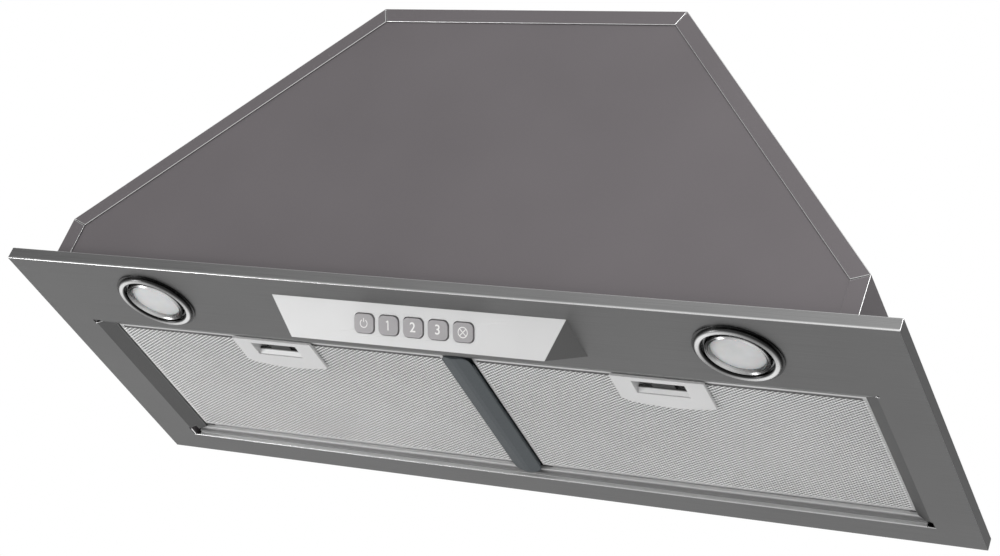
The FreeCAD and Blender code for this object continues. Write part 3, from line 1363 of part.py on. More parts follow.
# ---------------------------------------------------------------- wiring and screws
def make_wiring():
    """Run capacitor with its clip, junction box with its lid, and the cable grommet."""
    radius, length, seat = d.capacitor_radius, d.capacitor_length, compartment_top
    x, y = d.capacitor_margin - body_half, body_front + d.capacitor_back
    axis_z = seat + radius + d.capacitor_lift
    terminal = rod(d.terminal_radius, d.terminal_length, x + length, y, axis_z, "x")
    keep("capacitor", fuse(rod(radius, length, x, y, axis_z, "x"), terminal))
    width, foot = d.band_width, d.band_foot
    clip_x = x + length / 2 - width / 2
    band = cut(
        fuse(
            rod(radius + d.band_thick, width, clip_x, y, axis_z, "x"),
            box((clip_x, clip_x + width), (y - radius - foot, y + radius + foot), (seat, seat + d.sheet)),
        ),
        rod(radius + d.screw_clear, 2 * width, clip_x - width / 2, y, axis_z, "x"),
        box((clip_x - 1, clip_x + width + 1), (y - 2 * radius, y + 2 * radius), (seat - 2 * radius, seat)),
    )
    keep("capacitor_clip", band)

    wall, left, front, lap = d.box_wall, d.box_left, body_front + d.box_front, d.lid_lap
    right, back, top = left + d.box_width, front + d.box_depth, seat + d.box_height
    lid_low = top - wall
    tub = cut(
        box((left, right), (front, back), (seat, lid_low)),
        box((left + wall, right - wall), (front + wall, back - wall), (seat + wall, top)),
    )
    keep("junction_box", tub)
    keep("junction_lid", box((left - lap, right + lap), (front - lap, back + lap), (lid_low, top)))

    lip, plate = d.grommet_lip, body_back - 2 * d.sheet
    x, z, neck, start = d.grommet_x, grommet_z, d.grommet_hole - 0.2, plate - lip
    length = 2 * lip + d.sheet
    grommet = cut(
        fuse(
            rod(d.grommet_radius, lip, x, start, z, "y"),
            rod(neck, length, x, start, z, "y"),
            rod(d.grommet_radius, lip, x, plate + d.sheet, z, "y"),
        ),
        rod(d.cable_radius, length + 2, x, start - 1, z, "y"),
    )
    keep("cable_grommet", grommet)


def make_cover_screws():
    """Pan-head screws through the rear rim and the rear cover."""
    screws = []
    for x, z in rear_screw_places():
        shank = rod(d.screw_radius, d.screw_length, x, body_back - d.screw_length, z, "y")
        head = rod(d.screw_head, d.screw_head_height, x, body_back, z, "y")
        screws.append(fuse(shank, head))
    keep("cover_screws", group(*screws))


def build():
    make_flange_panel()
    make_body_wrapper()
    make_cover("front_cover", -1)
    make_cover("rear_cover", 1)
    make_back_rail()
    make_filter_divider()
    make_compartment_cover()
    make_control_housing()
    for step, label in enumerate(BUTTONS, start=-2):
        make_button(label, step)
    make_switches()
    for name, side in (("left", -1), ("right", 1)):
        make_filter(name, side)
        make_lamp(name, side)
        make_scroll("scroll_" + name, side)
        make_inlet_ring("inlet_ring_" + name, side)
    make_lamp_details()
    make_impeller()
    make_motor()
    make_outlet()
    make_wiring()
    make_cover_screws()
    doc.recompute()


def check():
    """Stop if anything in the document failed or a sub-part has no sound solid."""
    for item in doc.Objects:
        bad = [state for state in item.State if state in ("Invalid", "Error")]
        if bad:
            raise RuntimeError(f"{item.Name} ({item.Label}) is {bad}")
    for piece in PIECES:
        shape = piece.Shape
        if shape.isNull() or not shape.isValid() or not shape.Solids:
            raise RuntimeError(f"{piece.Label} has no sound solid")


def write():
    os.makedirs("parts", exist_ok=True)
    for piece in PIECES:
        piece.Shape.exportStep(f"parts/{piece.Label}.step")
        size = piece.Shape.BoundBox
        print(f"{piece.Label:24s} solids {len(piece.Shape.Solids)} volume {piece.Shape.Volume:10.0f}", end="")
        print(f" x {size.XMin:.1f} {size.XMax:.1f} y {size.YMin:.1f} {size.YMax:.1f}", end="")
        print(f" z {size.ZMin:.1f} {size.ZMax:.1f}")


build()
check()
write()
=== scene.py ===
"""Looks of the range hood insert: materials, fine mesh, button marks, floor, lights and camera."""

import json
import math

import bpy
from mathutils import Euler, Matrix, Vector


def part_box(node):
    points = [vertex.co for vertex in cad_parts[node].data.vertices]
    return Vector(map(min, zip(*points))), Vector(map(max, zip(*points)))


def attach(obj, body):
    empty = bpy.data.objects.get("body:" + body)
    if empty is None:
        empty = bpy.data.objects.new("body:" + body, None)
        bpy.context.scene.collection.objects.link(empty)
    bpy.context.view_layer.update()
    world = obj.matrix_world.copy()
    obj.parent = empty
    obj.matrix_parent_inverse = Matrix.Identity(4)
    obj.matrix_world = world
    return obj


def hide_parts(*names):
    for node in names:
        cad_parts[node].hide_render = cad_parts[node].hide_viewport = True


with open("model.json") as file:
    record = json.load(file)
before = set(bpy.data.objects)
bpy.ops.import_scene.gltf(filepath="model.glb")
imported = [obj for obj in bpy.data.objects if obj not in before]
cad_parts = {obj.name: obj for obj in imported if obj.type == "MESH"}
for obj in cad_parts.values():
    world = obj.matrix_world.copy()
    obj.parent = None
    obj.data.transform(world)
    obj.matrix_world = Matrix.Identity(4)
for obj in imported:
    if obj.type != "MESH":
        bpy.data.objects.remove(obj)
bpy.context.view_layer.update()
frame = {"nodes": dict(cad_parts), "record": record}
scene = bpy.context.scene
MM = 0.001


# ---------------------------------------------------------------- node helpers
def new_material(name):
    """A node material: its tree, its shader and object coordinates in metres."""
    material = bpy.data.materials.new(name)
    material.use_nodes = True
    tree = material.node_tree
    shader = tree.nodes["Principled BSDF"]
    place = tree.nodes.new("ShaderNodeTexCoord").outputs["Object"]
    return material, tree, shader, place


def stretched(tree, place, scale):
    """Object coordinates with a different scale along each axis, for grain and streaks."""
    mapping = tree.nodes.new("ShaderNodeMapping")
    mapping.inputs["Scale"].default_value = scale
    tree.links.new(place, mapping.inputs["Vector"])
    return mapping.outputs["Vector"]


def noise(tree, place, scale, detail=3.0, roughness=0.55):
    """Smooth noise from 0 to 1."""
    texture = tree.nodes.new("ShaderNodeTexNoise")
    texture.inputs["Scale"].default_value = scale
    texture.inputs["Detail"].default_value = detail
    texture.inputs["Roughness"].default_value = roughness
    tree.links.new(place, texture.inputs["Vector"])
    return texture.outputs["Fac"]


def ramp(tree, factor, low, high, start=0.35, stop=0.65):
    """Blend two colours as a factor goes from start to stop."""
    blend = tree.nodes.new("ShaderNodeValToRGB")
    blend.color_ramp.elements[0].position = start
    blend.color_ramp.elements[1].position = stop
    blend.color_ramp.elements[0].color = (*low, 1)
    blend.color_ramp.elements[1].color = (*high, 1)
    tree.links.new(factor, blend.inputs["Fac"])
    return blend.outputs["Color"]


def tone_stops(tree, factor, stops):
    """Blend greys through many stops, each a position from 0 to 1 and a level."""
    blend = tree.nodes.new("ShaderNodeValToRGB")
    elements = blend.color_ramp.elements
    elements[0].position = stops[0][0]
    elements[-1].position = stops[-1][0]
    for position, level in stops:
        if position == stops[0][0]:
            element = elements[0]
        elif position == stops[-1][0]:
            element = elements[-1]
        else:
            element = elements.new(position)
        element.color = (level, level, level, 1)
    tree.links.new(factor, blend.inputs["Fac"])
    return blend.outputs["Color"]


def spread(tree, factor, low, high, start=0.3, stop=0.7):
    """Blend two numbers as a factor goes from start to stop."""
    span = tree.nodes.new("ShaderNodeMapRange")
    span.inputs["From Min"].default_value = start
    span.inputs["From Max"].default_value = stop
    span.inputs["To Min"].default_value = low
    span.inputs["To Max"].default_value = high
    tree.links.new(factor, span.inputs["Value"])
    return span.outputs["Result"]


def bump(tree, shader, height, strength, distance):
    """Let a height shape the surface's shading."""
    node = tree.nodes.new("ShaderNodeBump")
    node.inputs["Strength"].default_value = strength
    node.inputs["Distance"].default_value = distance
    tree.links.new(height, node.inputs["Height"])
    tree.links.new(node.outputs["Normal"], shader.inputs["Normal"])


def parts_of(tree, vector):
    """The X, Y and Z outputs of a vector."""
    split = tree.nodes.new("ShaderNodeSeparateXYZ")
    tree.links.new(vector, split.inputs["Vector"])
    return split.outputs["X"], split.outputs["Y"], split.outputs["Z"]


def maths(tree, operation, *values):
    """A maths node on numbers or outputs."""
    node = tree.nodes.new("ShaderNodeMath")
    node.operation = operation
    for socket, value in zip(node.inputs, values):
        if isinstance(value, (int, float)):
            socket.default_value = value
        else:
            tree.links.new(value, socket)
    return node.outputs["Value"]


def choose(tree, switch, low, high):
    """One of two numbers or outputs, by a switch of 0 or 1."""
    mixed = tree.nodes.new("ShaderNodeMix")
    mixed.data_type = "FLOAT"
    tree.links.new(switch, mixed.inputs["Factor"])
    for name, value in (("A", low), ("B", high)):
        if isinstance(value, float):
            mixed.inputs[name].default_value = value
        else:
            tree.links.new(value, mixed.inputs[name])
    return mixed.outputs["Result"]


def grey(level, warm=0.0):
    """A linear grey, a little warmer or cooler."""
    return (level * (1 + warm), level, level * (1 - warm))


def shade(color, factor):
    """A colour made darker or lighter."""
    return tuple(channel * factor for channel in color)


def brushing(tree, place, grain):
    """Fine streaks; grain scales them on X, Y and Z."""
    return noise(tree, stretched(tree, place, grain), scale=1.0, detail=4.0, roughness=0.7)


# ---------------------------------------------------------------- materials
def brushed_metal(name, color, grain, roughness, metallic=0.85, contrast=0.12, depth=0.4):
    """Sheet metal with fine streaks along one axis, or an even grain."""
    material, tree, shader, place = new_material(name)
    streaks = brushing(tree, place, grain)
    cloud = noise(tree, place, scale=7.0, detail=2.0)
    fine = ramp(tree, streaks, shade(color, 1 - contrast), shade(color, 1 + contrast))
    mixed = tree.nodes.new("ShaderNodeMix")
    mixed.data_type = "RGBA"
    mixed.blend_type = "MULTIPLY"
    mixed.inputs["Factor"].default_value = 1.0
    tree.links.new(fine, mixed.inputs["A"])
    clouded = ramp(tree, cloud, grey(0.94), grey(1.04), start=0.3, stop=0.7)
    tree.links.new(clouded, mixed.inputs["B"])
    tree.links.new(mixed.outputs["Result"], shader.inputs["Base Color"])
    shader.inputs["Metallic"].default_value = metallic
    rough = spread(tree, streaks, roughness * SMOOTHER, roughness * ROUGHER)
    tree.links.new(rough, shader.inputs["Roughness"])
    bump(tree, shader, streaks, strength=depth, distance=0.04 * MM)
    return material


def speckled(name, color, scale, roughness, metallic=0.0, contrast=0.06, depth=0.2, coat=0.0):
    """Paint, plastic or rubber: soft colour variation and a fine moulded or sprayed surface."""
    material, tree, shader, place = new_material(name)
    grain = noise(tree, place, scale)
    cloud = noise(tree, place, scale=9.0, detail=2.0)
    darker, lighter = shade(color, 1 - contrast), shade(color, 1 + contrast * 0.6)
    tone = ramp(tree, cloud, darker, lighter, start=0.25, stop=0.75)
    tree.links.new(tone, shader.inputs["Base Color"])
    shader.inputs["Metallic"].default_value = metallic
    shader.inputs["Coat Weight"].default_value = coat
    rough = spread(tree, grain, roughness * SMOOTHER, roughness * ROUGHER)
    tree.links.new(rough, shader.inputs["Roughness"])
    bump(tree, shader, grain, strength=depth, distance=0.05 * MM)
    return material


def galvanised():
    """Zinc spangle: flat crystals of slightly different grey."""
    material, tree, shader, place = new_material("galvanised_steel")
    crystals = tree.nodes.new("ShaderNodeTexVoronoi")
    crystals.inputs["Scale"].default_value = 90.0
    tree.links.new(place, crystals.inputs["Vector"])
    split = tree.nodes.new("ShaderNodeSeparateColor")
    tree.links.new(crystals.outputs["Color"], split.inputs["Color"])
    tone = ramp(tree, split.outputs["Red"], grey(0.33, -0.01), grey(0.46, -0.01), start=0.0, stop=1.0)
    tree.links.new(tone, shader.inputs["Base Color"])
    shader.inputs["Metallic"].default_value = 0.8
    rough = spread(tree, split.outputs["Green"], 0.35, 0.5, start=0.0, stop=1.0)
    tree.links.new(rough, shader.inputs["Roughness"])
    bump(tree, shader, noise(tree, place, scale=300.0), strength=0.15, distance=0.05 * MM)
    return material


def frosted_lens():
    """Pale diffusing plastic, faintly clouded, with a fine etched surface."""
    material, tree, shader, place = new_material("frosted_lens")
    etched = noise(tree, place, scale=1500.0, detail=2.0)
    cloud = noise(tree, place, scale=60.0, detail=2.0)
    tone = ramp(tree, cloud, grey(0.58, -0.005), grey(0.63, -0.005))
    tree.links.new(tone, shader.inputs["Base Color"])
    shader.inputs["Subsurface Weight"].default_value = 0.2
    shader.inputs["Subsurface Scale"].default_value = 0.002
    tree.links.new(spread(tree, etched, 0.3, 0.45), shader.inputs["Roughness"])
    bump(tree, shader, etched, strength=0.2, distance=0.03 * MM)
    return material


def panel_steel():
    """Brushed sheet of the panel.

    The opening's side bevels are darker with painted shade. The front face and its bend get lighter
    toward +X with painted light and a painted highlight.
    """
    material = brushed_metal("panel_steel", **PANEL_SHEET)
    tree = material.node_tree
    shader = tree.nodes["Principled BSDF"]
    base = shader.inputs["Base Color"].links[0].from_socket
    place = tree.nodes.new("ShaderNodeTexCoord").outputs["Object"]
    normal = tree.nodes.new("ShaderNodeNewGeometry").outputs["Normal"]
    facing_x, facing_y, facing_z = parts_of(tree, normal)
    across, _, height = parts_of(tree, place)
    # painted shade: the opening's side bevels darker, the right bevel darker still
    sideways = spread(tree, maths(tree, "ABSOLUTE", facing_x), 0.0, 1.0, *SIDE_FACING)
    slanted = spread(tree, facing_z, 1.0, 0.0, *BEVEL_FACING)
    bevel = maths(tree, "MULTIPLY", sideways, slanted)
    bevel_shade = spread(tree, facing_x, BEVEL_SHADE_RIGHT, BEVEL_SHADE_LEFT, *BEVEL_TURN)
    change = maths(tree, "MULTIPLY", bevel, maths(tree, "SUBTRACT", bevel_shade, 1.0))
    darker = maths(tree, "ADD", 1.0, change)
    # painted highlight along the lip's lower bend and painted light on its front face, both growing
    # toward +X
    front = spread(tree, facing_y, 1.0, 0.0, *FRONT_FACING)
    low = spread(tree, height, 1.0, 0.0, BEND_LOW, BEND_HIGH)
    bend = maths(tree, "MULTIPLY", low, spread(tree, across, *BEND_LIGHT, *PANEL_ENDS))
    face = spread(tree, across, 0.0, FACE_LIGHT, *PANEL_ENDS)
    lit = maths(tree, "MULTIPLY", front, maths(tree, "ADD", bend, face))
    factor = maths(tree, "ADD", darker, lit)
    scaled = tree.nodes.new("ShaderNodeVectorMath")
    scaled.operation = "SCALE"
    tree.links.new(base, scaled.inputs[0])
    tree.links.new(factor, scaled.inputs["Scale"])
    tree.links.new(scaled.outputs["Vector"], shader.inputs["Base Color"])
    return material


def bright_edge():
    """Bends and cut edges: a painted highlight where they face the front, plain sheet elsewhere."""
    material, tree, shader, place = new_material("bright_edge")
    grain = brushing(tree, place, ALONG_X)
    facing = parts_of(tree, tree.nodes.new("ShaderNodeNewGeometry").outputs["Normal"])[1]
    frontal = spread(tree, facing, 1.0, 0.0, *EDGE_FACING)
    # painted highlight: edges that face the front are much lighter
    tone = ramp(tree, frontal, grey(0.16), grey(0.68), start=0.0, stop=1.0)
    tree.links.new(tone, shader.inputs["Base Color"])
    shader.inputs["Metallic"].default_value = 0.9
    tree.links.new(spread(tree, grain, 0.2, 0.26), shader.inputs["Roughness"])
    bump(tree, shader, grain, strength=0.3, distance=0.03 * MM)
    return material


def lamp_chrome(name, profile, toward, dim, groove_shade=0.0):
    """Turned chrome round each lamp, with painted reflection and shade: tones by radius, brighter along
    one diagonal of the panel.

    Away from that diagonal the painted glint falls to dim. The last argument darkens the grooves between
    fine ridges with painted shade.
    """
    material, tree, shader, place = new_material(name)
    x, y, _ = parts_of(tree, place)
    u = maths(tree, "SUBTRACT", x, maths(tree, "MULTIPLY", maths(tree, "SIGN", x), LAMP_X))
    v = maths(tree, "SUBTRACT", y, LAMP_Y)
    squares = maths(tree, "ADD", maths(tree, "MULTIPLY", u, u), maths(tree, "MULTIPLY", v, v))
    radius = maths(tree, "POWER", squares, 0.5)
    toward_u = maths(tree, "MULTIPLY", u, toward[0])
    toward_v = maths(tree, "MULTIPLY", v, toward[1])
    cosine = maths(tree, "DIVIDE", maths(tree, "ADD", toward_u, toward_v), radius)
    along = maths(tree, "POWER", maths(tree, "ABSOLUTE", cosine), 2.0)
    first, last = profile[0][0], profile[-1][0]
    stops = [((distance - first) / (last - first), level) for distance, level in profile]
    # painted reflection and shade: a level for each radius, lighter along one diagonal
    tones = tone_stops(tree, spread(tree, radius, 0.0, 1.0, first, last), stops)
    level = maths(tree, "MULTIPLY", tones, spread(tree, along, dim, 1.0, start=0.0, stop=1.0))
    # painted shade in the grooves between fine ridges
    ridge = maths(tree, "PINGPONG", radius, RIDGE_PITCH / 2)
    ridges = spread(tree, ridge, 1 - groove_shade, 1.0, start=0.0, stop=RIDGE_PITCH / 2)
    level = maths(tree, "MULTIPLY", level, ridges)
    tree.links.new(level, shader.inputs["Base Color"])
    shader.inputs["Metallic"].default_value = 1.0
    grain = noise(tree, place, scale=300.0)
    tree.links.new(spread(tree, grain, 0.2, 0.3), shader.inputs["Roughness"])
    bump(tree, shader, grain, strength=0.05, distance=0.03 * MM)
    return material


def rail_lines():
    """Extruded aluminium with painted highlights and shade: fine lighter and darker lines along its
    length, brightest at both edges.
    """
    material, tree, shader, place = new_material("rail_aluminium")
    depth = parts_of(tree, place)[1]
    # painted highlights on the rail's bends, painted shade between them
    lines = tone_stops(tree, spread(tree, depth, 0.0, 1.0, RAIL_FRONT, RAIL_BACK), RAIL_LINES)
    grain = noise(tree, stretched(tree, place, ALONG_X), scale=1.0, detail=2.0)
    tree.links.new(lines, shader.inputs["Base Color"])
    shader.inputs["Metallic"].default_value = 0.4
    tree.links.new(spread(tree, grain, 0.36, 0.42), shader.inputs["Roughness"])
    bump(tree, shader, grain, strength=0.1, distance=0.02 * MM)
    return material


def latch_plastic():
    """Silver plastic that darkens deep inside the finger pull, where little light reaches."""
    material, tree, shader, place = new_material("latch_plastic")
    height = parts_of(tree, place)[2]
    grain = noise(tree, place, scale=1400.0)
    light = spread(tree, height, 1.0, 0.0, *PULL_SHADE)
    tone = ramp(tree, light, grey(0.02), grey(0.71), start=0.0, stop=1.0)
    tree.links.new(tone, shader.inputs["Base Color"])
    tree.links.new(spread(tree, grain, 0.35, 0.45), shader.inputs["Roughness"])
    bump(tree, shader, grain, strength=0.2, distance=0.05 * MM)
    return material


def circuit_board():
    """Solder mask with copper tracks showing through as slightly lighter lines."""
    material, tree, shader, place = new_material("circuit_board")
    tracks = tree.nodes.new("ShaderNodeTexWave")
    tracks.inputs["Scale"].default_value = 120.0
    tracks.inputs["Distortion"].default_value = 6.0
    tree.links.new(place, tracks.inputs["Vector"])
    mask, copper = (0.012, 0.07, 0.03), (0.03, 0.16, 0.07)
    tone = ramp(tree, tracks.outputs["Fac"], mask, copper, start=0.45, stop=0.55)
    tree.links.new(tone, shader.inputs["Base Color"])
    shader.inputs["Roughness"].default_value = 0.35
    return material


# ---------------------------------------------------------------- grain, tones and where they change
ALONG_X = (12.0, 2600.0, 2600.0)
MESH_GRAIN = (500.0, 500.0, 500.0)
ZINC_GRAIN = (400.0, 400.0, 400.0)
SMOOTHER, ROUGHER = 0.85, 1.15
PANEL_SHEET = dict(color=grey(0.165), grain=ALONG_X, roughness=0.38)
# spans of a face's direction over which painted shade and highlights change: sideways, bevelled, left to
# right, front, edges
SIDE_FACING, BEVEL_FACING, BEVEL_TURN = (0.2, 0.4), (-0.35, -0.15), (-0.4, 0.4)
FRONT_FACING, EDGE_FACING = (-0.9, -0.5), (-0.5, -0.15)
LAMP_X, LAMP_Y = 240 * MM, -98 * MM
RIDGE_PITCH = 1.3 * MM
# painted shade: share of the tone kept on the left and right side bevels
BEVEL_SHADE_LEFT, BEVEL_SHADE_RIGHT = 0.70, 0.50
# painted highlight on the lip's lower bend between these heights, and painted light on its front face,
# both growing toward +X across the panel's ends
BEND_LOW, BEND_HIGH = -9.4 * MM, -8.2 * MM
BEND_LIGHT, FACE_LIGHT, PANEL_ENDS = (1.2, 3.4), 0.7, (-360 * MM, 360 * MM)
RAIL_FRONT, RAIL_BACK = 110.3 * MM, 127.0 * MM
# level of the rail's painted highlights and shade, lines from front to back
RAIL_LINES = (
    (0.0, 0.62),
    (0.07, 0.62),
    (0.14, 0.18),
    (0.24, 0.24),
    (0.28, 0.55),
    (0.34, 0.20),
    (0.44, 0.26),
    (0.48, 0.55),
    (0.54, 0.20),
    (0.66, 0.28),
    (0.70, 0.60),
    (0.76, 0.28),
    (0.88, 0.36),
    (0.94, 0.70),
    (1.0, 0.70),
)
# height over which the inside of a finger pull turns dark
PULL_SHADE = (-2.5 * MM, -1.9 * MM)
# diagonals of the panel along which the lamps' rings carry a painted glint
BEZEL_GLINT_TOWARD, RING_GLINT_TOWARD = (-0.707, -0.707), (-0.707, 0.707)
# level of the turned rings at each radius, painted reflection and shade: the bezel's groove, crest and
# outer lip; the lens ring
BEZEL_TONES = (
    (25.0 * MM, 0.03),
    (25.8 * MM, 0.06),
    (26.6 * MM, 0.95),
    (28.6 * MM, 0.95),
    (29.6 * MM, 0.12),
    (30.3 * MM, 0.05),
    (32.0 * MM, 0.10),
)
RING_TONES = (
    (18.5 * MM, 0.75),
    (19.3 * MM, 0.85),
    (22.6 * MM, 0.75),
    (23.4 * MM, 0.08),
    (24.9 * MM, 0.05),
)

SPECKLED = {
    "painted_steel": dict(color=(0.150, 0.137, 0.144), scale=900.0, roughness=0.42, metallic=0.4),
    "divider_plastic": dict(color=(0.052, 0.062, 0.069), scale=1100.0, roughness=0.5),
    "silver_plastic": dict(color=grey(0.665), scale=1400.0, roughness=0.4),
    "black_plastic": dict(color=grey(0.018), scale=1200.0, roughness=0.45, depth=0.35),
    "blower_plastic": dict(color=grey(0.03), scale=1000.0, roughness=0.5),
    "motor_steel": dict(color=grey(0.22), scale=700.0, roughness=0.4, metallic=0.7),
    "rubber": dict(color=grey(0.014), scale=700.0, roughness=0.75, depth=0.4),
    "white_plastic": dict(color=grey(0.80, 0.01), scale=1200.0, roughness=0.45),
    "housing_grey": dict(color=grey(0.10, 0.005), scale=900.0, roughness=0.4, metallic=0.3),
    "button_grey": dict(color=(0.345, 0.332, 0.341), scale=1500.0, roughness=0.38),
    "chrome": dict(color=grey(0.62), scale=300.0, roughness=0.12, metallic=1.0, depth=0.05),
}
BRUSHED = {
    "brushed_steel": PANEL_SHEET,
    "zinc": dict(color=grey(0.45, 0.02), grain=ZINC_GRAIN, roughness=0.35),
    "spring_steel": dict(color=grey(0.40), grain=ALONG_X, roughness=0.25, metallic=1.0),
    "filter_aluminium": dict(color=grey(0.62), grain=ALONG_X, roughness=0.35, metallic=0.6),
    "mesh_aluminium": dict(color=grey(0.98), grain=MESH_GRAIN, roughness=0.35, metallic=0.35),
}
# finish of each slot
MATERIALS = {
    "rail_aluminium": rail_lines(),
    "galvanised_steel": galvanised(),
    "circuit_board": circuit_board(),
    "frosted_lens": frosted_lens(),
}
for name, look in SPECKLED.items():
    MATERIALS[name] = speckled(name, **look)
for name, look in BRUSHED.items():
    MATERIALS[name] = brushed_metal(name, **look)
PAINTED_EDGE_HIGHLIGHT = bright_edge()
SHADED_CORE = brushed_metal("shaded_core", grey(0.25), MESH_GRAIN, roughness=0.5, metallic=0.5)
# finishes for the nodes whose names start so, in place of their slot's finish
SPECIAL = {
    "lamp_bezel": lamp_chrome("bezel_chrome", BEZEL_TONES, BEZEL_GLINT_TOWARD, dim=0.3),
    "lens_ring": lamp_chrome("ring_chrome", RING_TONES, RING_GLINT_TOWARD, dim=0.28, groove_shade=0.5),
    "filter_latch": latch_plastic(),
    "filter_core": SHADED_CORE,
    "flange_panel": panel_steel(),
}
SLOT_OF = {part["node"]: part["material_slot"] for part in frame["record"]["subparts"]}


def dress(piece, slot):
    """Give a piece its slot's finish alone."""
    piece.data.materials.clear()
    piece.data.materials.append(MATERIALS[slot])


for node, piece in frame["nodes"].items():
    dress(piece, SLOT_OF[node])
    for start, material in SPECIAL.items():
        if node.startswith(start):
            piece.data.materials[0] = material


# ---------------------------------------------------------------- new pieces
def add_piece(name, vertices, faces, slot, body):
    """A mesh piece in metres that takes a slot's finish and moves with a body."""
    mesh = bpy.data.meshes.new(name)
    mesh.from_pydata(vertices, [], faces)
    mesh.update()
    piece = bpy.data.objects.new(name, mesh)
    scene.collection.objects.link(piece)
    dress(piece, slot)
    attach(piece, body)
    return piece


# faces of a block whose corners run round one end and then the other
BLOCK_FACES = ((0, 1, 2, 3), (7, 6, 5, 4), (0, 4, 5, 1), (1, 5, 6, 2), (2, 6, 7, 3), (3, 7, 4, 0))


def bar(start, stop, width, thick, tilt):
    """Corners of a flat strand between two points, rolled about its own length by a tilt."""
    along = (stop - start).normalized()
    up = Vector((0, 0, 1))
    across = along.cross(up)
    wide = (across * math.cos(tilt) + up * math.sin(tilt)) * width / 2
    deep = (up * math.cos(tilt) - across * math.sin(tilt)) * thick / 2
    corners = (-wide - deep, wide - deep, wide + deep, -wide + deep)
    return [end + corner for end in (start, stop) for corner in corners]


# expanded mesh: pitch of the diamonds, and each strand's width, thickness and roll
DIAMOND_X, DIAMOND_Y = 4.4 * MM, 2.9 * MM
BRIGHT_STRAND = (1.0 * MM, 0.2 * MM, math.radians(14))
EDGE_STRAND = (0.5 * MM, 0.2 * MM, math.radians(-50))
# how far the net stays inside the sheet at its ends, front and back, and what a strand may overrun
NET_END, NET_FRONT, NET_BACK, END_SLACK = 1.0 * MM, 5.0 * MM, 3.0 * MM, 0.01 * MM
# the net is left out in front of this line, and this far to each side of the finger pull
PULL_BACK, PULL_SIDE = -16.5 * MM, 3.0 * MM


def make_net(side):
    """Fine expanded aluminium across one filter, left out where the finger pull goes through."""
    low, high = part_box(f"filter_mesh_{side}")
    handle_low, handle_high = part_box(f"filter_latch_{side}")
    level = (low.z + high.z) / 2
    first_x, last_x = low.x + NET_END, high.x - NET_END
    first_y, last_y = low.y + NET_FRONT, high.y - NET_BACK
    columns = round((last_x - first_x) / DIAMOND_X)
    rows = round((last_y - first_y) / (DIAMOND_Y / 2))
    step_x, step_y = (last_x - first_x) / columns, (last_y - first_y) / rows
    vertices, faces = [], []
    for row in range(rows):
        for column in range(columns + 1):
            x = first_x + (column + 0.5 * (row % 2)) * step_x
            y = first_y + row * step_y
            start = Vector((x, y, level))
            for way, strand in ((-1, BRIGHT_STRAND), (1, EDGE_STRAND)):
                stop = start + Vector((way * step_x / 2, step_y, 0))
                middle = (start + stop) / 2
                in_pull = handle_low.x - PULL_SIDE < middle.x < handle_high.x + PULL_SIDE
                if in_pull and middle.y < PULL_BACK:
                    continue
                left, right = min(start.x, stop.x), max(start.x, stop.x)
                if left < first_x - END_SLACK or right > last_x + END_SLACK:
                    continue
                base = len(vertices)
                vertices += bar(start, stop, *strand)
                faces += [tuple(base + corner for corner in face) for face in BLOCK_FACES]
    net = add_piece(f"fine_net_{side}", vertices, faces, "mesh_aluminium", f"filter_{side}")
    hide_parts(f"filter_mesh_{side}")


for side in ("left", "right"):
    make_net(side)


# marks on the buttons, in the frame of the buttons' face: x across, y up the face, z outwards
FACE_MIDDLE = Vector((0, -109.84, -21.12)) * MM
FACE_TILT = math.radians(132.99)
FACE = Matrix.Translation(FACE_MIDDLE) @ Matrix.Rotation(FACE_TILT, 4, "X")
BUTTON_PITCH = 20.4 * MM
MARK_LEVEL = 1.22 * MM
NUMBER_SIZE, NUMBER_BOLD, NUMBER_THICK = 10.0 * MM, 0.12 * MM, 0.01 * MM
STROKE, ONE_STROKE = 0.7 * MM, 0.95 * MM
ONE_HALF, ONE_FLAG = 3.5 * MM, (-1.5 * MM, 2.3 * MM)
LAMP_RADIUS, POWER_RADIUS = 3.7 * MM, 2.9 * MM
POWER_ARC, POWER_BAR = (120, 420), (1.0 * MM, 3.9 * MM)


def ring_points(radius, start=0.0, stop=360.0, count=32):
    """Points along an arc about the origin, from one angle to another in degrees."""
    angles = [math.radians(start + (stop - start) * step / count) for step in range(count + 1)]
    return [(radius * math.cos(angle), radius * math.sin(angle)) for angle in angles]


def draw_strokes(name, strokes, width, body, place):
    """Printed mark: flat strips along lines of (x, y) points."""
    vertices, faces = [], []
    for points in strokes:
        points = [Vector((*point, 0)) for point in points]
        for start, stop in zip(points, points[1:]):
            side = (stop - start).normalized().cross(Vector((0, 0, 1))) * width / 2
            base = len(vertices)
            vertices += [start - side, start + side, stop + side, stop - side]
            faces.append((base, base + 1, base + 2, base + 3))
    vertices = [FACE @ (corner + place) for corner in vertices]
    return add_piece(name, vertices, faces, "white_plastic", body)


def draw_number(text, body, place):
    """Printed digit on a button."""
    data = bpy.data.curves.new(f"mark_{text}", "FONT")
    data.body = text
    data.size = NUMBER_SIZE
    data.offset = NUMBER_BOLD
    data.align_x = "CENTER"
    data.align_y = "CENTER"
    data.extrude = NUMBER_THICK
    data.materials.append(MATERIALS["white_plastic"])
    mark = bpy.data.objects.new(f"mark_{text}", data)
    mark.matrix_world = FACE @ Matrix.Translation(place)
    scene.collection.objects.link(mark)
    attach(mark, body)


def mark_place(number):
    """Middle of a mark, counted from the middle button."""
    return Vector((number * BUTTON_PITCH, 0, MARK_LEVEL))


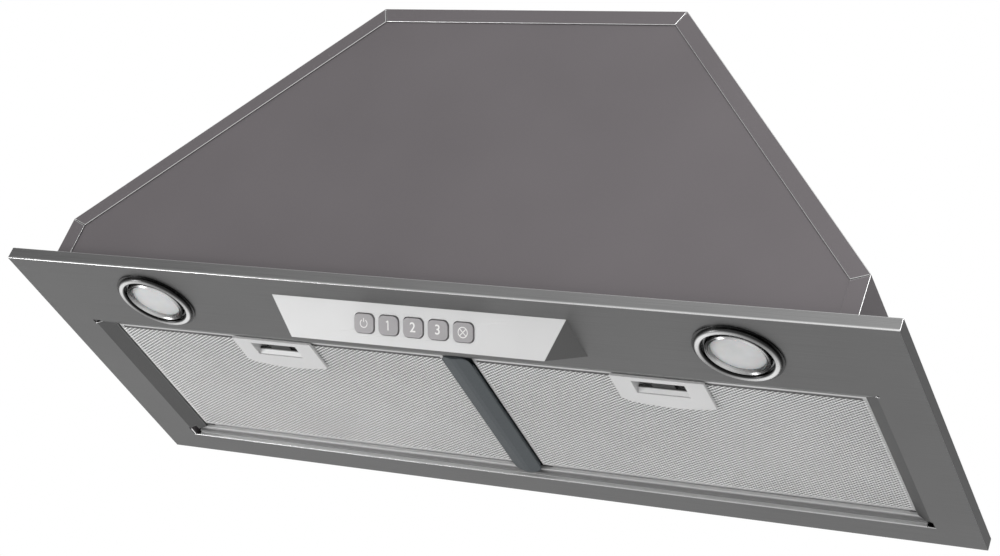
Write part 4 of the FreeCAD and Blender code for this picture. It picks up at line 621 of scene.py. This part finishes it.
def make_marks():
    """Power sign, the speeds 1 to 3, and the lamp sign: a cross in a circle."""
    one = [[ONE_FLAG, (0, ONE_HALF), (0, -ONE_HALF)]]
    draw_strokes("mark_1", one, ONE_STROKE, "button_speed_1", mark_place(-1))
    for number in (2, 3):
        draw_number(str(number), f"button_speed_{number}", mark_place(number - 2))
    slant = LAMP_RADIUS * math.sqrt(0.5)
    cross = [[(-slant, -slant), (slant, slant)], [(-slant, slant), (slant, -slant)]]
    draw_strokes("mark_lamp", [ring_points(LAMP_RADIUS)] + cross, STROKE, "button_lamp", mark_place(2))
    power = [ring_points(POWER_RADIUS, *POWER_ARC), [(0, end) for end in POWER_BAR]]
    draw_strokes("mark_power", power, STROKE, "button_off", mark_place(-2))


make_marks()


# ---------------------------------------------------------------- bends and edges
WELD_GAP = 0.005 * MM


def soften(piece, width, bright=True, angle=40):
    """Round the bends and cut edges of a piece; bright gives the rounds a painted highlight where they
    face the front.
    """
    weld = piece.modifiers.new("weld", "WELD")
    weld.merge_threshold = WELD_GAP
    bevel = piece.modifiers.new("bevel", "BEVEL")
    bevel.width = width
    bevel.segments = 2
    bevel.limit_method = "ANGLE"
    bevel.angle_limit = math.radians(angle)
    bevel.use_clamp_overlap = False
    bevel.harden_normals = True
    if bright:
        piece.data.materials.append(PAINTED_EDGE_HIGHLIGHT)
        bevel.material = 1


for node, width in (
    ("flange_panel", 0.48 * MM),
    ("body_wrapper", 0.42 * MM),
):
    soften(frame["nodes"][node], width)
for node, width in (
    ("back_rail", 0.4 * MM),
    ("filter_divider", 0.4 * MM),
    ("filter_handle_left", 0.3 * MM),
    ("filter_handle_right", 0.3 * MM),
    ("control_fascia", 0.15 * MM),
):
    soften(frame["nodes"][node], width, bright=False)


# ---------------------------------------------------------------- divider lips
LIP_THICK, LIP_FOOT, LIP_TOP, LIP_END, LIP_ROUND = 1.0 * MM, 2.0 * MM, -4.05 * MM, 7.5 * MM, 0.3 * MM


def make_divider_lips():
    """Upright lips along both edges of the divider, up to the filters' mesh."""
    low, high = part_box("filter_divider")
    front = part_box("filter_mesh_right")[0].y + LIP_END
    back = high.y - LIP_END
    for name, left in (("left", low.x), ("right", high.x - LIP_THICK)):
        right = left + LIP_THICK
        corners = []
        for z in (low.z + LIP_FOOT, LIP_TOP):
            corners += [(left, front, z), (left, back, z), (right, back, z), (right, front, z)]
        piece = add_piece(f"divider_lip_{name}", corners, BLOCK_FACES, "divider_plastic", "casing")
        soften(piece, LIP_ROUND, bright=False)


make_divider_lips()


# ---------------------------------------------------------------- floor, lights and camera
CAMERA_PLACE = (0.7805, -1.2184, -0.6971)
CAMERA_TURN = (120.4352, -19.0968, 22.4278)
LENS, SENSOR = 77.389, 36.0
FLOOR_LEVEL = -0.78
AMBIENT = 0.75
GLOSS_LEFT, GLOSS_RIGHT, GLOSS_BACK = 0.46, 1.0, 0.36
# spans of direction over which the reflected world changes: left to right, front to back, below to above
ACROSS_SPAN, BACK_SPAN, ABOVE_SPAN = (-0.66, -0.31), (-0.1, 0.3), (-0.35, 0.1)
FLOOR_SIZE = 8
CENTRE = (0, 0, 0.1)
# name, place, target, size and power of each lamp
LIGHTS = (
    ("front", (1.9, -1.8, 0.3), CENTRE, (1.2, 1.2), 7),
    ("side", (0.55, -0.6, 0.4), (0.2, -0.14, 0.1), (0.3, 0.3), 1.6),
    ("below", (-0.95, -0.75, -0.74), (-0.2, -0.1, 0), (0.5, 0.5), 9),
    ("back", (-1.2, 2.0, 1.4), CENTRE, (2.0, 1.5), 10),
)


def make_camera():
    """The view of the photograph."""
    data = bpy.data.cameras.new("camera")
    data.lens = LENS
    data.sensor_width = SENSOR
    camera = bpy.data.objects.new("camera", data)
    camera.location = CAMERA_PLACE
    camera.rotation_euler = Euler([math.radians(angle) for angle in CAMERA_TURN])
    scene.collection.objects.link(camera)
    scene.camera = camera


def make_floor():
    """Pale floor well below the panel."""
    bpy.ops.mesh.primitive_plane_add(size=FLOOR_SIZE, location=(0, 0, FLOOR_LEVEL))
    floor = bpy.context.object
    floor.name = "floor"
    material, tree, shader, place = new_material("floor")
    tone = ramp(tree, noise(tree, place, scale=2.0), grey(0.90), grey(0.92))
    tree.links.new(tone, shader.inputs["Base Color"])
    shader.inputs["Roughness"].default_value = 0.8
    floor.data.materials.append(material)


def make_world(strength):
    """Even light all round, on a plain white ground.

    Gloss reflects white from below. From above it reflects grey at -X, white at +X and dark grey behind.
    """
    world = bpy.data.worlds.new("studio")
    world.use_nodes = True
    scene.world = world
    tree = world.node_tree
    background = tree.nodes["Background"]
    background.inputs["Color"].default_value = (1, 1, 1, 1)
    path = tree.nodes.new("ShaderNodeLightPath")
    x, y, z = parts_of(tree, tree.nodes.new("ShaderNodeTexCoord").outputs["Generated"])
    front = spread(tree, x, GLOSS_LEFT, GLOSS_RIGHT, *ACROSS_SPAN)
    above = choose(tree, spread(tree, y, 0.0, 1.0, *BACK_SPAN), front, GLOSS_BACK)
    gloss = choose(tree, spread(tree, z, 0.0, 1.0, *ABOVE_SPAN), 1.0, above)
    level = choose(tree, path.outputs["Is Glossy Ray"], strength, gloss)
    level = choose(tree, path.outputs["Is Transmission Ray"], level, 1.0)
    level = choose(tree, path.outputs["Is Camera Ray"], level, 1.0)
    tree.links.new(level, background.inputs["Strength"])


def area_light(name, place, target, size, power):
    """Rectangular lamp that looks at a target."""
    data = bpy.data.lights.new(name, "AREA")
    data.shape = "RECTANGLE"
    data.size, data.size_y = size
    data.energy = power
    light = bpy.data.objects.new(name, data)
    light.location = place
    light.rotation_euler = (Vector(target) - Vector(place)).to_track_quat("-Z", "Y").to_euler()
    scene.collection.objects.link(light)


make_camera()
make_floor()
make_world(AMBIENT)
for light in LIGHTS:
    area_light(*light)
scene.view_settings.view_transform = "Standard"
